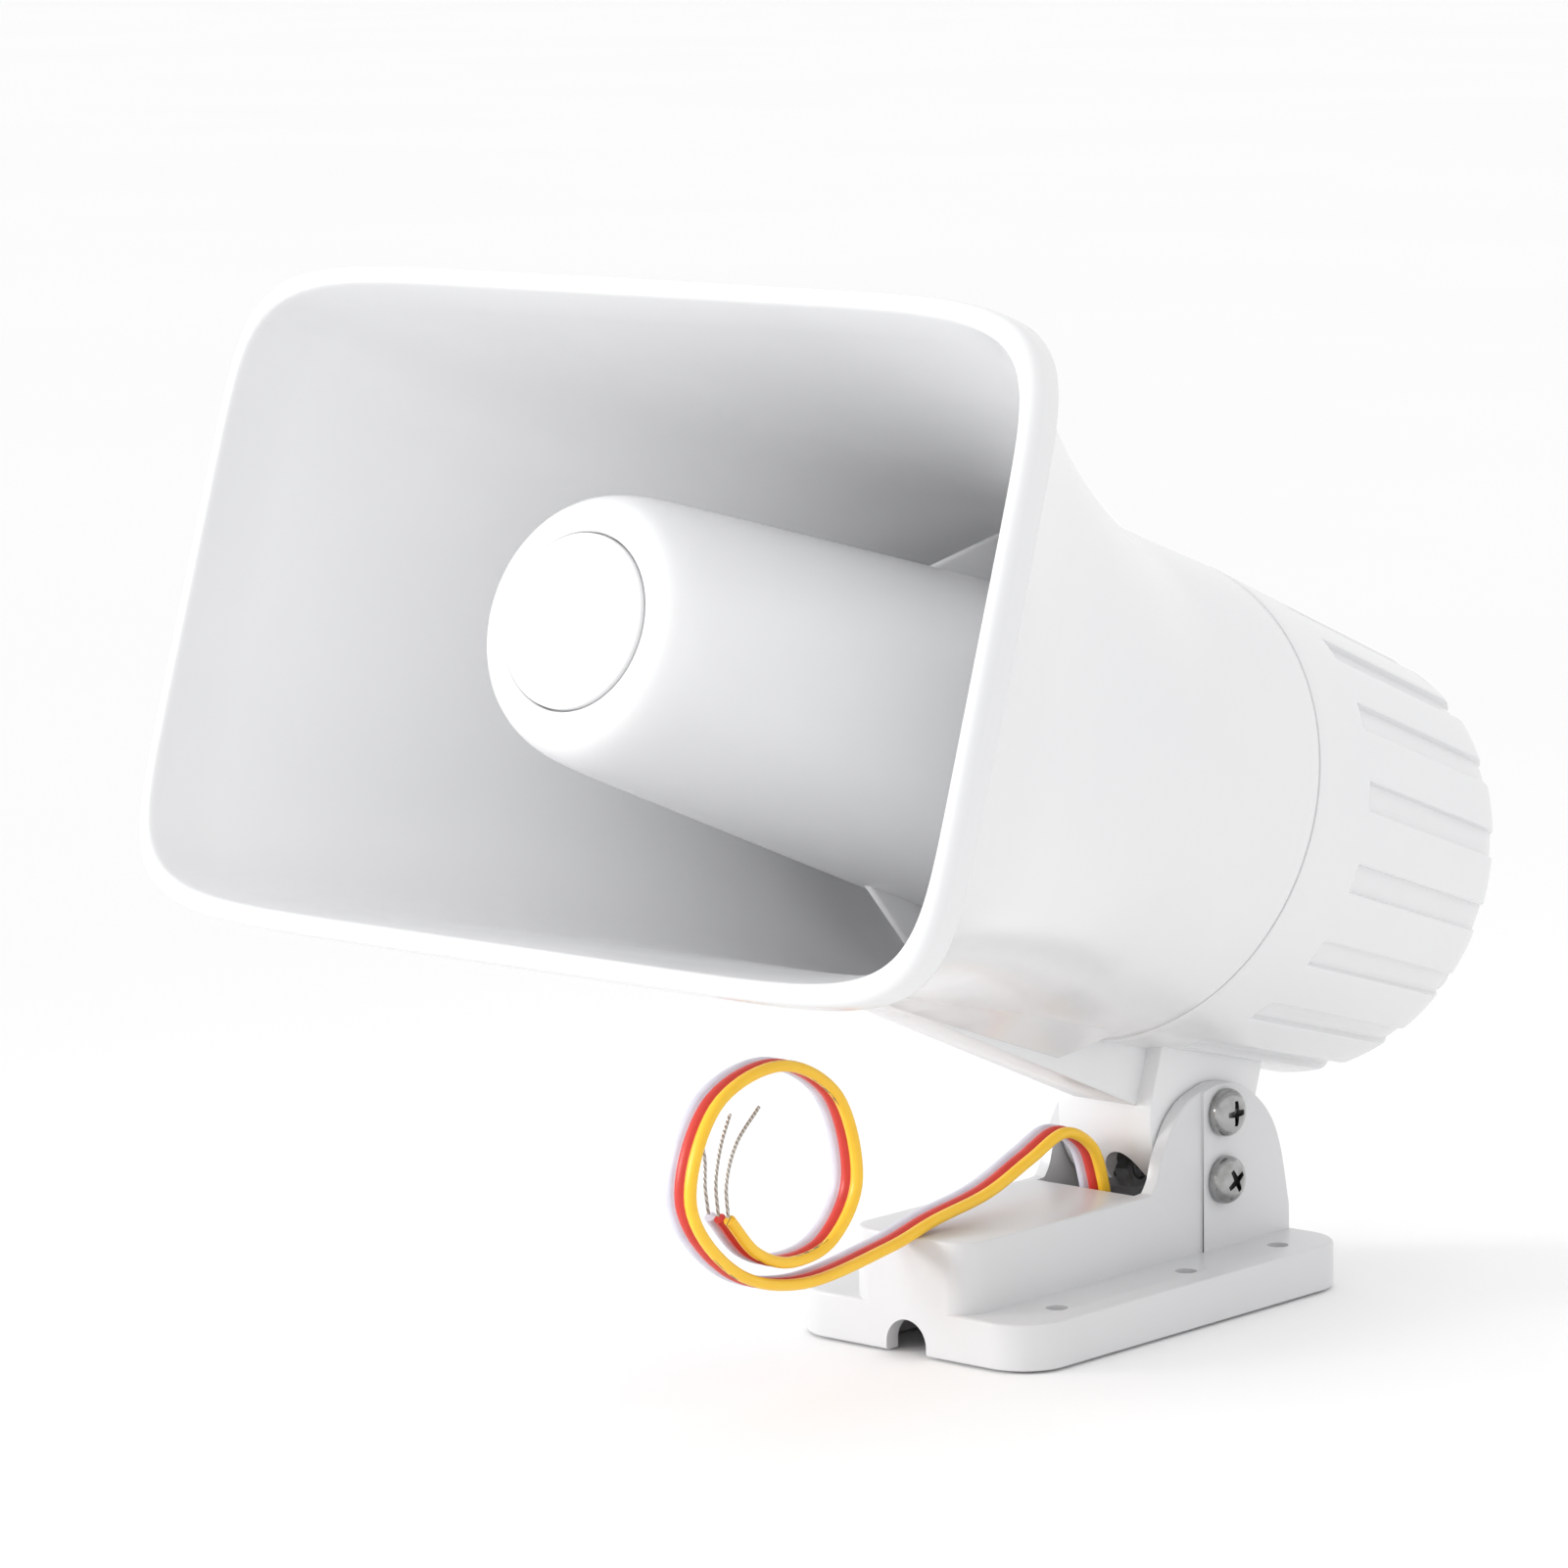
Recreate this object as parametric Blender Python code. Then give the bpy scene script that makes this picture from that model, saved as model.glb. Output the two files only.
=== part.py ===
"""Rectangular-mouth electronic horn siren on a tilting yoke base. Sizes below are millimetres, objects are metres.
The siren faces -Y, up is +Z, and the underside of the base is z = 0."""
import math

import bmesh
import bpy
from mathutils import Matrix, Vector

MM = 0.001

# Overall sizes
MOUTH_WIDTH = 194.0
MOUTH_HEIGHT = 124.0
HORN_LENGTH = 236.0
BARREL_RADIUS = 48.5
CAP_LENGTH = 71.0
REST_TILT = 17.9
BASE_LENGTH = 102.0
BASE_WIDTH = 61.0
BASE_HEIGHT = 9.1
YOKE_WIDTH = 29.8
BOX_HEIGHT = 23.0
PIVOT_HEIGHT = 36.4
PIVOT_BACK = 27.6
LOCK_DROP = 13.5

# Walls, gaps and fasteners
WALL = 2.4
GAP = 0.3
EAR_WALL = 2.8
TONGUE_RADIUS = 18.0
SHANK = 2.4
HOLE = 2.75
HEAD_RADIUS = 4.8
HEAD_HEIGHT = 3.3
TILT_UP = 10.0
TILT_DOWN = 6.0
GROOVES = 18
CORE = 2.4

# Stations measured back from the mouth along the horn axis
SEAM = HORN_LENGTH - CAP_LENGTH
BULKHEAD = SEAM - 15.0
COLLAR_END = SEAM + 8.0
PIVOT_S = HORN_LENGTH - 37.8
PIVOT_U = -(BARREL_RADIUS + 7.1)
REAR_RADIUS = BARREL_RADIUS - 4.9
POST_RING = BARREL_RADIUS - 11.0
DRIVER_RADIUS = BARREL_RADIUS - 15.9
MAGNET_RADIUS = DRIVER_RADIUS - 5.1
BULLET_RADIUS = 0.5 * BARREL_RADIUS
BULLET_END = BULKHEAD - 28.0

TILT = math.radians(REST_TILT)
BACK = Vector((0.0, math.cos(TILT), -math.sin(TILT)))
RISE = Vector((0.0, math.sin(TILT), math.cos(TILT)))
PIVOT = Vector((0.0, PIVOT_BACK, PIVOT_HEIGHT))
MOUTH = PIVOT - BACK * PIVOT_S - RISE * PIVOT_U

for old in list(bpy.data.objects):
    bpy.data.objects.remove(old, do_unlink=True)

scene = bpy.context.scene
parts = bpy.data.collections.new("horn_siren")
cutters = bpy.data.collections.new("cutters")
scene.collection.children.link(parts)
scene.collection.children.link(cutters)

horn_frame = Matrix.Translation(MOUTH * MM) @ Matrix.Rotation(-TILT, 4, "X")
world_frame = Matrix.Identity(4)
tilt_axis = bpy.data.objects.new("horn_tilt_axis", None)
tilt_axis.matrix_world = Matrix.Translation(PIVOT * MM)
parts.objects.link(tilt_axis)


def material(name, colour, roughness, metallic=0.0):
    made = bpy.data.materials.new(name)
    made.use_nodes = True
    shader = made.node_tree.nodes["Principled BSDF"]
    shader.inputs["Base Color"].default_value = (*colour, 1.0)
    shader.inputs["Roughness"].default_value = roughness
    shader.inputs["Metallic"].default_value = metallic
    made.diffuse_color = (*colour, 1.0)
    return made


def finish(name, bm, look, frame=world_frame, tilts=False, cutter=False, smooth=False):
    """One object from a bmesh in millimetres. Tilting pieces hang from the empty on the pivot axis."""
    bmesh.ops.remove_doubles(bm, verts=bm.verts, dist=1e-5)
    bmesh.ops.recalc_face_normals(bm, faces=bm.faces)
    bmesh.ops.scale(bm, vec=(MM, MM, MM), verts=bm.verts)
    mesh = bpy.data.meshes.new(name)
    bm.to_mesh(mesh)
    bm.free()
    for face in mesh.polygons:
        face.use_smooth = smooth
    obj = bpy.data.objects.new(name, mesh)
    if cutter:
        cutters.objects.link(obj)
        obj.hide_render = True
        obj.display_type = "WIRE"
    else:
        parts.objects.link(obj)
        mesh.materials.append(look)
    if tilts:
        obj.parent = tilt_axis
        obj.matrix_basis = Matrix.Translation(-PIVOT * MM) @ frame
    else:
        obj.matrix_world = frame
    return obj


def boolean(obj, other, operation, crossing=False):
    modifier = obj.modifiers.new(operation.lower(), "BOOLEAN")
    modifier.operation = operation
    modifier.solver = "EXACT"
    modifier.object = other
    modifier.use_self = crossing


def lathe_into(bm, profile, steps, closed=True):
    """Turns (station, radius) points about the local Y axis."""
    points = [bm.verts.new((r, s, 0.0)) for s, r in profile]
    pairs = list(zip(points, points[1:]))
    if closed:
        pairs.append((points[-1], points[0]))
    edges = [bm.edges.new(pair) for pair in pairs]
    bmesh.ops.spin(bm, geom=points + edges, cent=(0, 0, 0), axis=(0, 1, 0),
                   angle=2 * math.pi, steps=steps, use_merge=True)
    bmesh.ops.remove_doubles(bm, verts=bm.verts, dist=1e-5)


def lathe(name, profile, look, steps=48, closed=True, place=Matrix.Identity(4), **more):
    bm = bmesh.new()
    lathe_into(bm, profile, steps, closed)
    bmesh.ops.transform(bm, matrix=place, verts=bm.verts)
    more.setdefault("smooth", True)
    return finish(name, bm, look, **more)


def prism_into(bm, outline, low, high, axis="X"):
    """Extrudes a flat outline: (y, z) along X, or (x, y) along Z, or (x, z) along Y."""
    spots = {"X": lambda a, b: (low, a, b), "Z": lambda a, b: (a, b, low), "Y": lambda a, b: (a, low, b)}
    face = bm.faces.new([bm.verts.new(spots[axis](a, b)) for a, b in outline])
    step = {"X": (high - low, 0, 0), "Z": (0, 0, high - low), "Y": (0, high - low, 0)}[axis]
    moved = bmesh.ops.extrude_face_region(bm, geom=[face], use_keep_orig=True)["geom"]
    bmesh.ops.translate(bm, vec=step, verts=[v for v in moved if isinstance(v, bmesh.types.BMVert)])


def prism(name, outline, low, high, look, axis="X", **more):
    bm = bmesh.new()
    prism_into(bm, outline, low, high, axis)
    return finish(name, bm, look, **more)


def block_into(bm, x0, x1, y0, y1, z0, z1):
    spot = Matrix.Translation(((x0 + x1) / 2, (y0 + y1) / 2, (z0 + z1) / 2))
    size = Matrix.Diagonal((x1 - x0, y1 - y0, z1 - z0, 1.0))
    bmesh.ops.create_cube(bm, size=1.0, matrix=spot @ size)


def rod_into(bm, start, end, radius, steps=16):
    start = Vector(start)
    end = Vector(end)
    turn = Vector((0, 0, 1)).rotation_difference(end - start).to_matrix().to_4x4()
    bmesh.ops.create_cone(bm, cap_ends=True, segments=steps, radius1=radius, radius2=radius,
                          depth=(end - start).length, matrix=Matrix.Translation((start + end) / 2) @ turn)


def rounded(x0, x1, y0, y1, radius, steps=6):
    points = []
    corners = ((x1, y1, 0), (x0, y1, 90), (x0, y0, 180), (x1, y0, 270))
    for x, y, turn in corners:
        cx = x - math.copysign(radius, x - (x0 + x1) / 2)
        cy = y - math.copysign(radius, y - (y0 + y1) / 2)
        for k in range(steps + 1):
            a = math.radians(turn + 90 * k / steps)
            points.append((cx + radius * math.cos(a), cy + radius * math.sin(a)))
    return points


def ring_spot(radius, degrees):
    a = math.radians(degrees)
    return radius * math.cos(a), radius * math.sin(a)


# Looks
white = material("gloss_white_plastic", (0.86, 0.865, 0.87), 0.22)
base_white = material("base_white_plastic", (0.84, 0.845, 0.85), 0.28)
chrome = material("plated_steel", (0.72, 0.72, 0.71), 0.18, 1.0)
zinc = material("zinc_steel", (0.55, 0.55, 0.53), 0.35, 1.0)
ferrite = material("ferrite", (0.06, 0.06, 0.065), 0.7)
film = material("amber_film", (0.62, 0.36, 0.1), 0.35)
copper = material("copper_winding", (0.72, 0.33, 0.14), 0.35, 1.0)
seal = material("seal_rubber", (0.03, 0.03, 0.03), 0.8)
laminate = material("green_laminate", (0.03, 0.22, 0.09), 0.45)
black_plastic = material("black_plastic", (0.03, 0.03, 0.035), 0.5)
aluminium = material("aluminium_sheet", (0.75, 0.76, 0.77), 0.35, 1.0)
sleeve = material("blue_sleeve", (0.04, 0.09, 0.3), 0.4)
cable_sheath = material("flat_cable_sheath", (0.85, 0.5, 0.05), 0.4)
tinned = material("tinned_copper", (0.65, 0.64, 0.62), 0.3, 1.0)

# Base: hollow flange with a raised box that turns into two ears
HALF_LENGTH = BASE_LENGTH / 2
HALF_WIDTH = BASE_WIDTH / 2
HALF_YOKE = YOKE_WIDTH / 2
POCKET_HALF = HALF_YOKE - EAR_WALL
FRONT = -HALF_LENGTH
BOX_END = 4.2
EAR_TOP = PIVOT_HEIGHT + 5.8

base = prism("mounting_base", rounded(-HALF_WIDTH, HALF_WIDTH, FRONT, HALF_LENGTH, 10.0), 0.0, BASE_HEIGHT,
             base_white, axis="Z")
foot = EAR_TOP - BOX_HEIGHT
ear = [(FRONT, 2.0), (FRONT, BOX_HEIGHT), (BOX_END, BOX_HEIGHT)]
for ahead, up in ((-21.4, 0.02), (-19.9, 0.135), (-18.9, 0.3), (-17.0, 0.5), (-14.4, 0.7), (-10.6, 0.865), (-5.6, 0.958),
                  (-1.5, 1.0)):
    ear.append((PIVOT_BACK + ahead, BOX_HEIGHT + foot * up))
for behind, down in ((4.4, 0.6), (8.4, 2.4), (11.6, 4.6), (14.8, 7.6), (17.6, 11.7), (19.8, 17.7), (22.1, 28.0)):
    ear.append((PIVOT_BACK + behind, EAR_TOP - down))
ear += [(HALF_LENGTH - 0.9, BASE_HEIGHT), (HALF_LENGTH - 0.9, 2.0)]
yoke = prism("yoke_side", ear, -HALF_YOKE - 5, HALF_YOKE + 5, None, cutter=True)
plan = rounded(-HALF_YOKE, HALF_YOKE, FRONT, HALF_LENGTH + 20, 6.0, 4)
yoke_plan = prism("yoke_plan", plan, 1.0, EAR_TOP + 20, None, axis="Z", cutter=True)
boolean(yoke, yoke_plan, "INTERSECT")
boolean(base, yoke, "UNION")
PAD_FRONT = PIVOT_BACK - 6.0
PAD = 0.7
before, after = [pair for pair in zip(ear, ear[1:]) if pair[0][0] < PAD_FRONT <= pair[1][0]][0]
share = (PAD_FRONT - before[0]) / (after[0] - before[0])
pad_outline = [(PAD_FRONT, 4.0), (PAD_FRONT, before[1] + share * (after[1] - before[1]) - 0.1)]
pad_outline += [(y, z - 0.05) for y, z in ear if PAD_FRONT < y < HALF_LENGTH - 1.0 and z > BASE_HEIGHT + 1]
pad_outline += [(HALF_LENGTH - 1.2, BASE_HEIGHT - 1.0), (HALF_LENGTH - 1.2, 4.0)]
pads = prism("ear_pads", pad_outline, -HALF_YOKE - PAD, HALF_YOKE + PAD, None, cutter=True)
boolean(base, pads, "UNION")

hollow = bmesh.new()
block_into(hollow, -HALF_YOKE + WALL, HALF_YOKE - WALL, FRONT + WALL + 1.0, BOX_END - 4.5, -1.0, BOX_HEIGHT - WALL)
block_into(hollow, -POCKET_HALF, POCKET_HALF, BOX_END - 0.5, HALF_LENGTH - 4.2, -1.0, EAR_TOP + 20)
block_into(hollow, -6.0, 6.0, -3.0, BOX_END + 1.5, 3.5, 14.0)
boolean(base, finish("box_hollow", hollow, None, cutter=True), "DIFFERENCE", crossing=True)
for side, tag in ((-1, "left"), (1, "right")):
    wing = bmesh.new()
    inner = HALF_YOKE + 0.4
    outer = HALF_WIDTH - WALL
    marks = (FRONT + WALL, -HALF_LENGTH + 34, 0.0, HALF_LENGTH - 22, HALF_LENGTH - WALL)
    for k, (y0, y1) in enumerate(zip(marks, marks[1:])):
        # The end cells stay clear of the flange's rounded corners.
        first = y0 + (8.7 if k == 0 else 0.9)
        last = y1 - (8.7 if k == len(marks) - 2 else 0.9)
        low, high = sorted((side * inner, side * outer))
        block_into(wing, low, high, first, last, -1.0, BASE_HEIGHT - WALL)
    boolean(base, finish("wing_hollow_" + tag, wing, None, cutter=True), "DIFFERENCE")
HOLES = [(-HALF_LENGTH + 17.5), (-HALF_LENGTH + 57.6), (-HALF_LENGTH + 87.3)]
HOLE_X = (HALF_WIDTH + HALF_YOKE) / 2 - 0.05
bosses = bmesh.new()
holes = bmesh.new()
for side in (-1, 1):
    for y in HOLES:
        rod_into(bosses, (side * HOLE_X, y, 0.0), (side * HOLE_X, y, BASE_HEIGHT - 1.0), 4.3, 16)
        rod_into(holes, (side * HOLE_X, y, -2.0), (side * HOLE_X, y, BASE_HEIGHT + 2), 2.15, 16)
boolean(base, finish("screw_bosses", bosses, None, cutter=True), "UNION")
boolean(base, finish("screw_holes", holes, None, cutter=True), "DIFFERENCE")
NOTCH = 4.9
notch = [(-NOTCH, -1.0), (NOTCH, -1.0)]
for k in range(9):
    a = math.pi * k / 8
    notch.append((NOTCH * math.cos(a), 1.7 + NOTCH * math.sin(a)))
boolean(base, prism("cable_notch", notch, FRONT - 2, FRONT + WALL + 2, None, axis="Y", cutter=True), "DIFFERENCE")
LOCK = Vector((0.0, PIVOT_BACK, PIVOT_HEIGHT - LOCK_DROP))
ear_holes = bmesh.new()
for spot in (PIVOT, LOCK):
    rod_into(ear_holes, (-40, spot.y, spot.z), (40, spot.y, spot.z), HOLE)
boolean(base, finish("ear_holes", ear_holes, None, cutter=True), "DIFFERENCE")

# Yoke screws and the nuts they clamp, inside the hollow tongue
TONGUE_HALF = POCKET_HALF - 0.5
TONGUE_WALL = 3.0
NUT_OUT = TONGUE_HALF - TONGUE_WALL - GAP
NUT_IN = NUT_OUT - 3.6
HEAD_IN = HALF_YOKE + PAD + GAP


def yoke_screw(name, spot, side):
    bm = bmesh.new()
    h = HEAD_HEIGHT
    profile = [(NUT_IN - 0.8, 0.0), (NUT_IN - 0.8, SHANK), (HEAD_IN, SHANK), (HEAD_IN, HEAD_RADIUS),
               (HEAD_IN + 0.35 * h, HEAD_RADIUS), (HEAD_IN + 0.7 * h, 0.86 * HEAD_RADIUS),
               (HEAD_IN + 0.93 * h, 0.56 * HEAD_RADIUS), (HEAD_IN + h, 0.2 * HEAD_RADIUS), (HEAD_IN + h, 0.0)]
    lathe_into(bm, profile, 20, closed=False)
    turn = Matrix.Rotation(-math.pi / 2 if side > 0 else math.pi / 2, 4, "Z")
    place = Matrix.Translation(spot) @ turn
    bmesh.ops.transform(bm, matrix=place, verts=bm.verts)
    screw = finish(name, bm, chrome, smooth=True)
    reach = HEAD_IN + h
    w = 0.62
    plus = [(2.9, -w), (2.9, w), (w, w), (w, 2.9), (-w, 2.9), (-w, w), (-2.9, w), (-2.9, -w), (-w, -w), (-w, -2.9),
            (w, -2.9), (w, -w)]
    low, high = sorted((side * (reach - 1.6), side * (reach + 2)))
    cross = prism(name + "_cross", [(spot.y + a, spot.z + b) for a, b in plus], low, high, None, cutter=True)
    boolean(screw, cross, "DIFFERENCE")
    return screw


def hex_nut(name, spot, side, across, inner, low, high):
    bm = bmesh.new()
    flat = [(across / math.sqrt(3) * math.cos(math.pi * k / 3), across / math.sqrt(3) * math.sin(math.pi * k / 3))
            for k in range(6)]
    a, b = sorted((side * low, side * high))
    prism_into(bm, [(spot.y + p, spot.z + q) for p, q in flat], a, b)
    nut = finish(name, bm, zinc)
    hole = bmesh.new()
    rod_into(hole, (a - 1, spot.y, spot.z), (b + 1, spot.y, spot.z), inner)
    boolean(nut, finish(name + "_hole", hole, None, cutter=True), "DIFFERENCE")
    return nut


for side, tag in ((1, "right"), (-1, "left")):
    yoke_screw("pivot_screw_" + tag, PIVOT, side)
    yoke_screw("lock_screw_" + tag, LOCK, side)
    hex_nut("pivot_nut_" + tag, PIVOT, side, 8.0, SHANK + GAP, NUT_IN, NUT_OUT)
    hex_nut("lock_nut_" + tag, LOCK, side, 8.0, SHANK + GAP, NUT_IN, NUT_OUT)

# Horn shell: one wall from the rim through the flare and barrel to the bulkhead and the cap collar
CORNER = math.atan2(MOUTH_HEIGHT, MOUTH_WIDTH)
QUARTER = [CORNER * (1 - (1 - k / 6) ** 1.7) for k in range(6)]
QUARTER += [CORNER + (math.pi / 2 - CORNER) * (k / 6) ** 1.7 for k in range(6)]
ANGLES = QUARTER + [math.pi / 2] + [math.pi - a for a in QUARTER[:0:-1]]
ANGLES += [math.pi + a for a in QUARTER] + [1.5 * math.pi] + [2 * math.pi - a for a in QUARTER[:0:-1]]


def mouth_ring(bm, station, half_width, half_height, power):
    """A closed ring of the rounded rectangle |x/a|^n + |z/b|^n = 1, which is a circle at n = 2."""
    ring = []
    for a in ANGLES:
        c = abs(math.cos(a) / half_width) ** power
        s = abs(math.sin(a) / half_height) ** power
        r = (c + s) ** (-1.0 / power)
        ring.append(bm.verts.new((r * math.cos(a), station, r * math.sin(a))))
    return ring


def bridge(bm, rings, closed):
    pairs = list(zip(rings, rings[1:]))
    if closed:
        pairs.append((rings[-1], rings[0]))
    count = len(ANGLES)
    for first, second in pairs:
        for k in range(count):
            bm.faces.new((first[k], first[(k + 1) % count], second[(k + 1) % count], second[k]))


MW = MOUTH_WIDTH / 2
MH = MOUTH_HEIGHT / 2
FLARE_END = SEAM - 30.0


def flare(t):
    """Half width, half height and corner power of the outer wall, at t from the rim (0) to the barrel (1)."""
    wide = BARREL_RADIUS + 1.0 + (MW - 4.0 - BARREL_RADIUS) * (1 - t) ** 1.75
    high = BARREL_RADIUS + 1.0 + (MH - 3.5 - BARREL_RADIUS) * (1 - t) ** 1.9
    return wide, high, 2.0 + 6.0 * (1 - t) ** 1.5


def flare_rings(bm, inset, order):
    rings = []
    for t in order:
        wide, high, power = flare(t)
        rings.append(mouth_ring(bm, 7.0 + t * (FLARE_END - 7.0), wide - inset, high - inset, power))
    return rings


STEPS = [k / 7 for k in range(8)]
INNER = BARREL_RADIUS - WALL
shell = bmesh.new()
rings = [mouth_ring(shell, 0.0, MW - 2.7, MH - 2.7, 8), mouth_ring(shell, 0.3, MW - 1.1, MH - 1.1, 8),
         mouth_ring(shell, 1.4, MW - 0.2, MH - 0.2, 8), mouth_ring(shell, 3.0, MW, MH, 8),
         mouth_ring(shell, 6.6, MW, MH, 8), mouth_ring(shell, 7.0, MW - 2.2, MH - 1.8, 8)]
rings += flare_rings(shell, 0.0, STEPS)
rings += [mouth_ring(shell, s, r, r, 2) for s, r in (
    (SEAM, BARREL_RADIUS), (SEAM, BARREL_RADIUS - 2.5), (COLLAR_END, BARREL_RADIUS - 2.5))]
bridge(shell, rings, closed=False)
shell.faces.new(rings[0][::-1])
shell.faces.new(rings[-1])
horn = finish("horn_shell", shell, white, frame=horn_frame, tilts=True)

KEEL_HALF = POCKET_HALF - 4.1
SADDLE_HALF = KEEL_HALF + 9.6
cap_slope = (BARREL_RADIUS - REAR_RADIUS) / CAP_LENGTH
UNDER_CAP = 0.45
tongue_rear = PIVOT_S + 15.6
keel_end = (PIVOT_S - TONGUE_RADIUS, PIVOT_U - 2.6)
keel_front = (SEAM - 93.0, -(BARREL_RADIUS + 0.7))
keel = [keel_front, keel_end, (PIVOT_S - TONGUE_RADIUS + 3, PIVOT_U), (tongue_rear - 3, PIVOT_U + 3),
        (tongue_rear - 3, -(BARREL_RADIUS + UNDER_CAP + 0.8 - cap_slope * (tongue_rear - SEAM))),
        (SEAM - 0.5, -(BARREL_RADIUS + UNDER_CAP)), (SEAM - 0.5, -(BARREL_RADIUS - 1.3)),
        (SEAM - 93.0, -(BARREL_RADIUS - 1.3))]
boolean(horn, prism("keel_plate", keel, -KEEL_HALF, KEEL_HALF, None, cutter=True, frame=horn_frame, tilts=True),
        "UNION")
saddle = bmesh.new()
saddle_rings = []
for station, down in ((SEAM - 90.0, 1.9), (SEAM - 60.0, 3.7), (SEAM - 12.0, 4.6), (SEAM - 4.0, 1.0)):
    low = -(BARREL_RADIUS + down)
    high = -(BARREL_RADIUS - 4.2)
    spots = ((-SADDLE_HALF, high), (-KEEL_HALF - 0.4, low), (KEEL_HALF + 0.4, low), (SADDLE_HALF, high))
    saddle_rings.append([saddle.verts.new((x, station, z)) for x, z in spots])
for first, second in zip(saddle_rings, saddle_rings[1:]):
    for k in range(4):
        saddle.faces.new((first[k], first[(k + 1) % 4], second[(k + 1) % 4], second[k]))
saddle.faces.new(saddle_rings[0][::-1])
saddle.faces.new(saddle_rings[-1])
boolean(horn, finish("keel_saddle", saddle, None, cutter=True, frame=horn_frame, tilts=True), "UNION")
tongue = []
for k in range(17):
    a = math.pi + math.radians(150) * k / 16
    tongue.append((PIVOT_S + TONGUE_RADIUS * math.cos(a), PIVOT_U + TONGUE_RADIUS * math.sin(a)))
tongue += [(tongue_rear, PIVOT_U - 8.4), (tongue_rear, -(BARREL_RADIUS + UNDER_CAP - cap_slope * (tongue_rear - SEAM))),
           (PIVOT_S - TONGUE_RADIUS, -(BARREL_RADIUS + UNDER_CAP - cap_slope * (PIVOT_S - TONGUE_RADIUS - SEAM)))]
boolean(horn, prism("tongue_block", tongue, -TONGUE_HALF, TONGUE_HALF, None, cutter=True, frame=horn_frame,
                    tilts=True), "UNION")
# The sound space, the rear chamber and the throat hole are cut after the keel and tongue are joined
space = bmesh.new()
inner_rings = [mouth_ring(space, -1.5, MW - 2.6, MH - 2.6, 8), mouth_ring(space, 0.9, MW - 3.4, MH - 3.4, 8)]
inner_rings += flare_rings(space, WALL, STEPS)
inner_rings += [mouth_ring(space, BULKHEAD - 6.0, INNER, INNER, 2),
                mouth_ring(space, BULKHEAD - 3.5, INNER - 1.5, INNER - 1.5, 2)]
bridge(space, inner_rings, closed=False)
space.faces.new(inner_rings[0][::-1])
space.faces.new(inner_rings[-1])
boolean(horn, finish("sound_space", space, None, cutter=True, frame=horn_frame, tilts=True), "DIFFERENCE")
chamber = [(BULKHEAD, 0.0), (BULKHEAD, BARREL_RADIUS - 4.9), (COLLAR_END + 4.0, BARREL_RADIUS - 4.9),
           (COLLAR_END + 4.0, 0.0)]
boolean(horn, lathe("rear_chamber", chamber, None, steps=36, closed=False, cutter=True, frame=horn_frame,
                    tilts=True), "DIFFERENCE")
boss = bmesh.new()
for a in (90, 210, 330):
    x, z = ring_spot(POST_RING, a)
    rod_into(boss, (x, BULKHEAD - 1.5, z), (x, SEAM + 21.0, z), 4.0, 16)
boolean(horn, finish("cap_bosses", boss, None, cutter=True, frame=horn_frame, tilts=True), "UNION")
throat_hole = bmesh.new()
rod_into(throat_hole, (0, BULKHEAD - 9.0, 0), (0, BULKHEAD + 5.0, 0), 9.6, 32)
boolean(horn, finish("throat_hole", throat_hole, None, cutter=True, frame=horn_frame, tilts=True), "DIFFERENCE")

cuts = bmesh.new()
for a in (90, 210, 330):
    x, z = ring_spot(POST_RING, a)
    rod_into(cuts, (x, SEAM + 8.0, z), (x, SEAM + 30.0, z), 1.75, 12)
for a in (30, 150, 270):
    x, z = ring_spot(DRIVER_RADIUS - 2.5, a)
    rod_into(cuts, (x, BULKHEAD - 2.0, z), (x, BULKHEAD + 3.0, z), 1.75, 12)
boolean(horn, finish("pilot_holes", cuts, None, cutter=True, frame=horn_frame, tilts=True), "DIFFERENCE")

CABLE_HALF = KEEL_HALF - 2.8
channel = [(SEAM - 12.0, -(BARREL_RADIUS - 7.0)), (SEAM - 5.0, -(BARREL_RADIUS - 7.0)),
           (SEAM - 5.0, -(BARREL_RADIUS + 3.0)), (PIVOT_S - 11.0, PIVOT_U + 4.0), (PIVOT_S - 11.0, PIVOT_U - 3.5),
           (PIVOT_S - 15.0, PIVOT_U - 1.0), (SEAM - 12.0, -(BARREL_RADIUS + 2.2))]
boolean(horn, prism("cable_channel", channel, -CABLE_HALF, CABLE_HALF, None, cutter=True, frame=horn_frame,
                    tilts=True), "DIFFERENCE")
NUT_ROOM = TONGUE_HALF - TONGUE_WALL
room = [(PIVOT_S - 12.5, PIVOT_U + 5.5)]
for k in range(7):
    a = math.radians(184.0 + 59.0 * k / 6)
    room.append((PIVOT_S + (TONGUE_RADIUS - 2.8) * math.cos(a), PIVOT_U + (TONGUE_RADIUS - 2.8) * math.sin(a)))
room += [(PIVOT_S - 6.2, PIVOT_U - 22.0), (PIVOT_S + 10.0, PIVOT_U - 22.0), (PIVOT_S + 12.6, PIVOT_U - 6.0),
         (PIVOT_S + 12.6, PIVOT_U + 5.5)]
boolean(horn, prism("nut_room", room, -NUT_ROOM, NUT_ROOM, None, cutter=True, frame=horn_frame, tilts=True),
        "DIFFERENCE")
ARCH_HALF = NUT_ROOM - 1.1
ARCH_TOP = PIVOT_HEIGHT - 7.1
arch = [(-ARCH_HALF, 8.0), (ARCH_HALF, 8.0)]
for k in range(9):
    a = math.pi * k / 8
    arch.append((ARCH_HALF * math.cos(a), ARCH_TOP - ARCH_HALF + ARCH_HALF * math.sin(a)))
boolean(horn, prism("tongue_arch", arch, 2.0, PIVOT_BACK - 7.6, None, axis="Y", cutter=True, tilts=True), "DIFFERENCE")
slot = bmesh.new()
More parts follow.
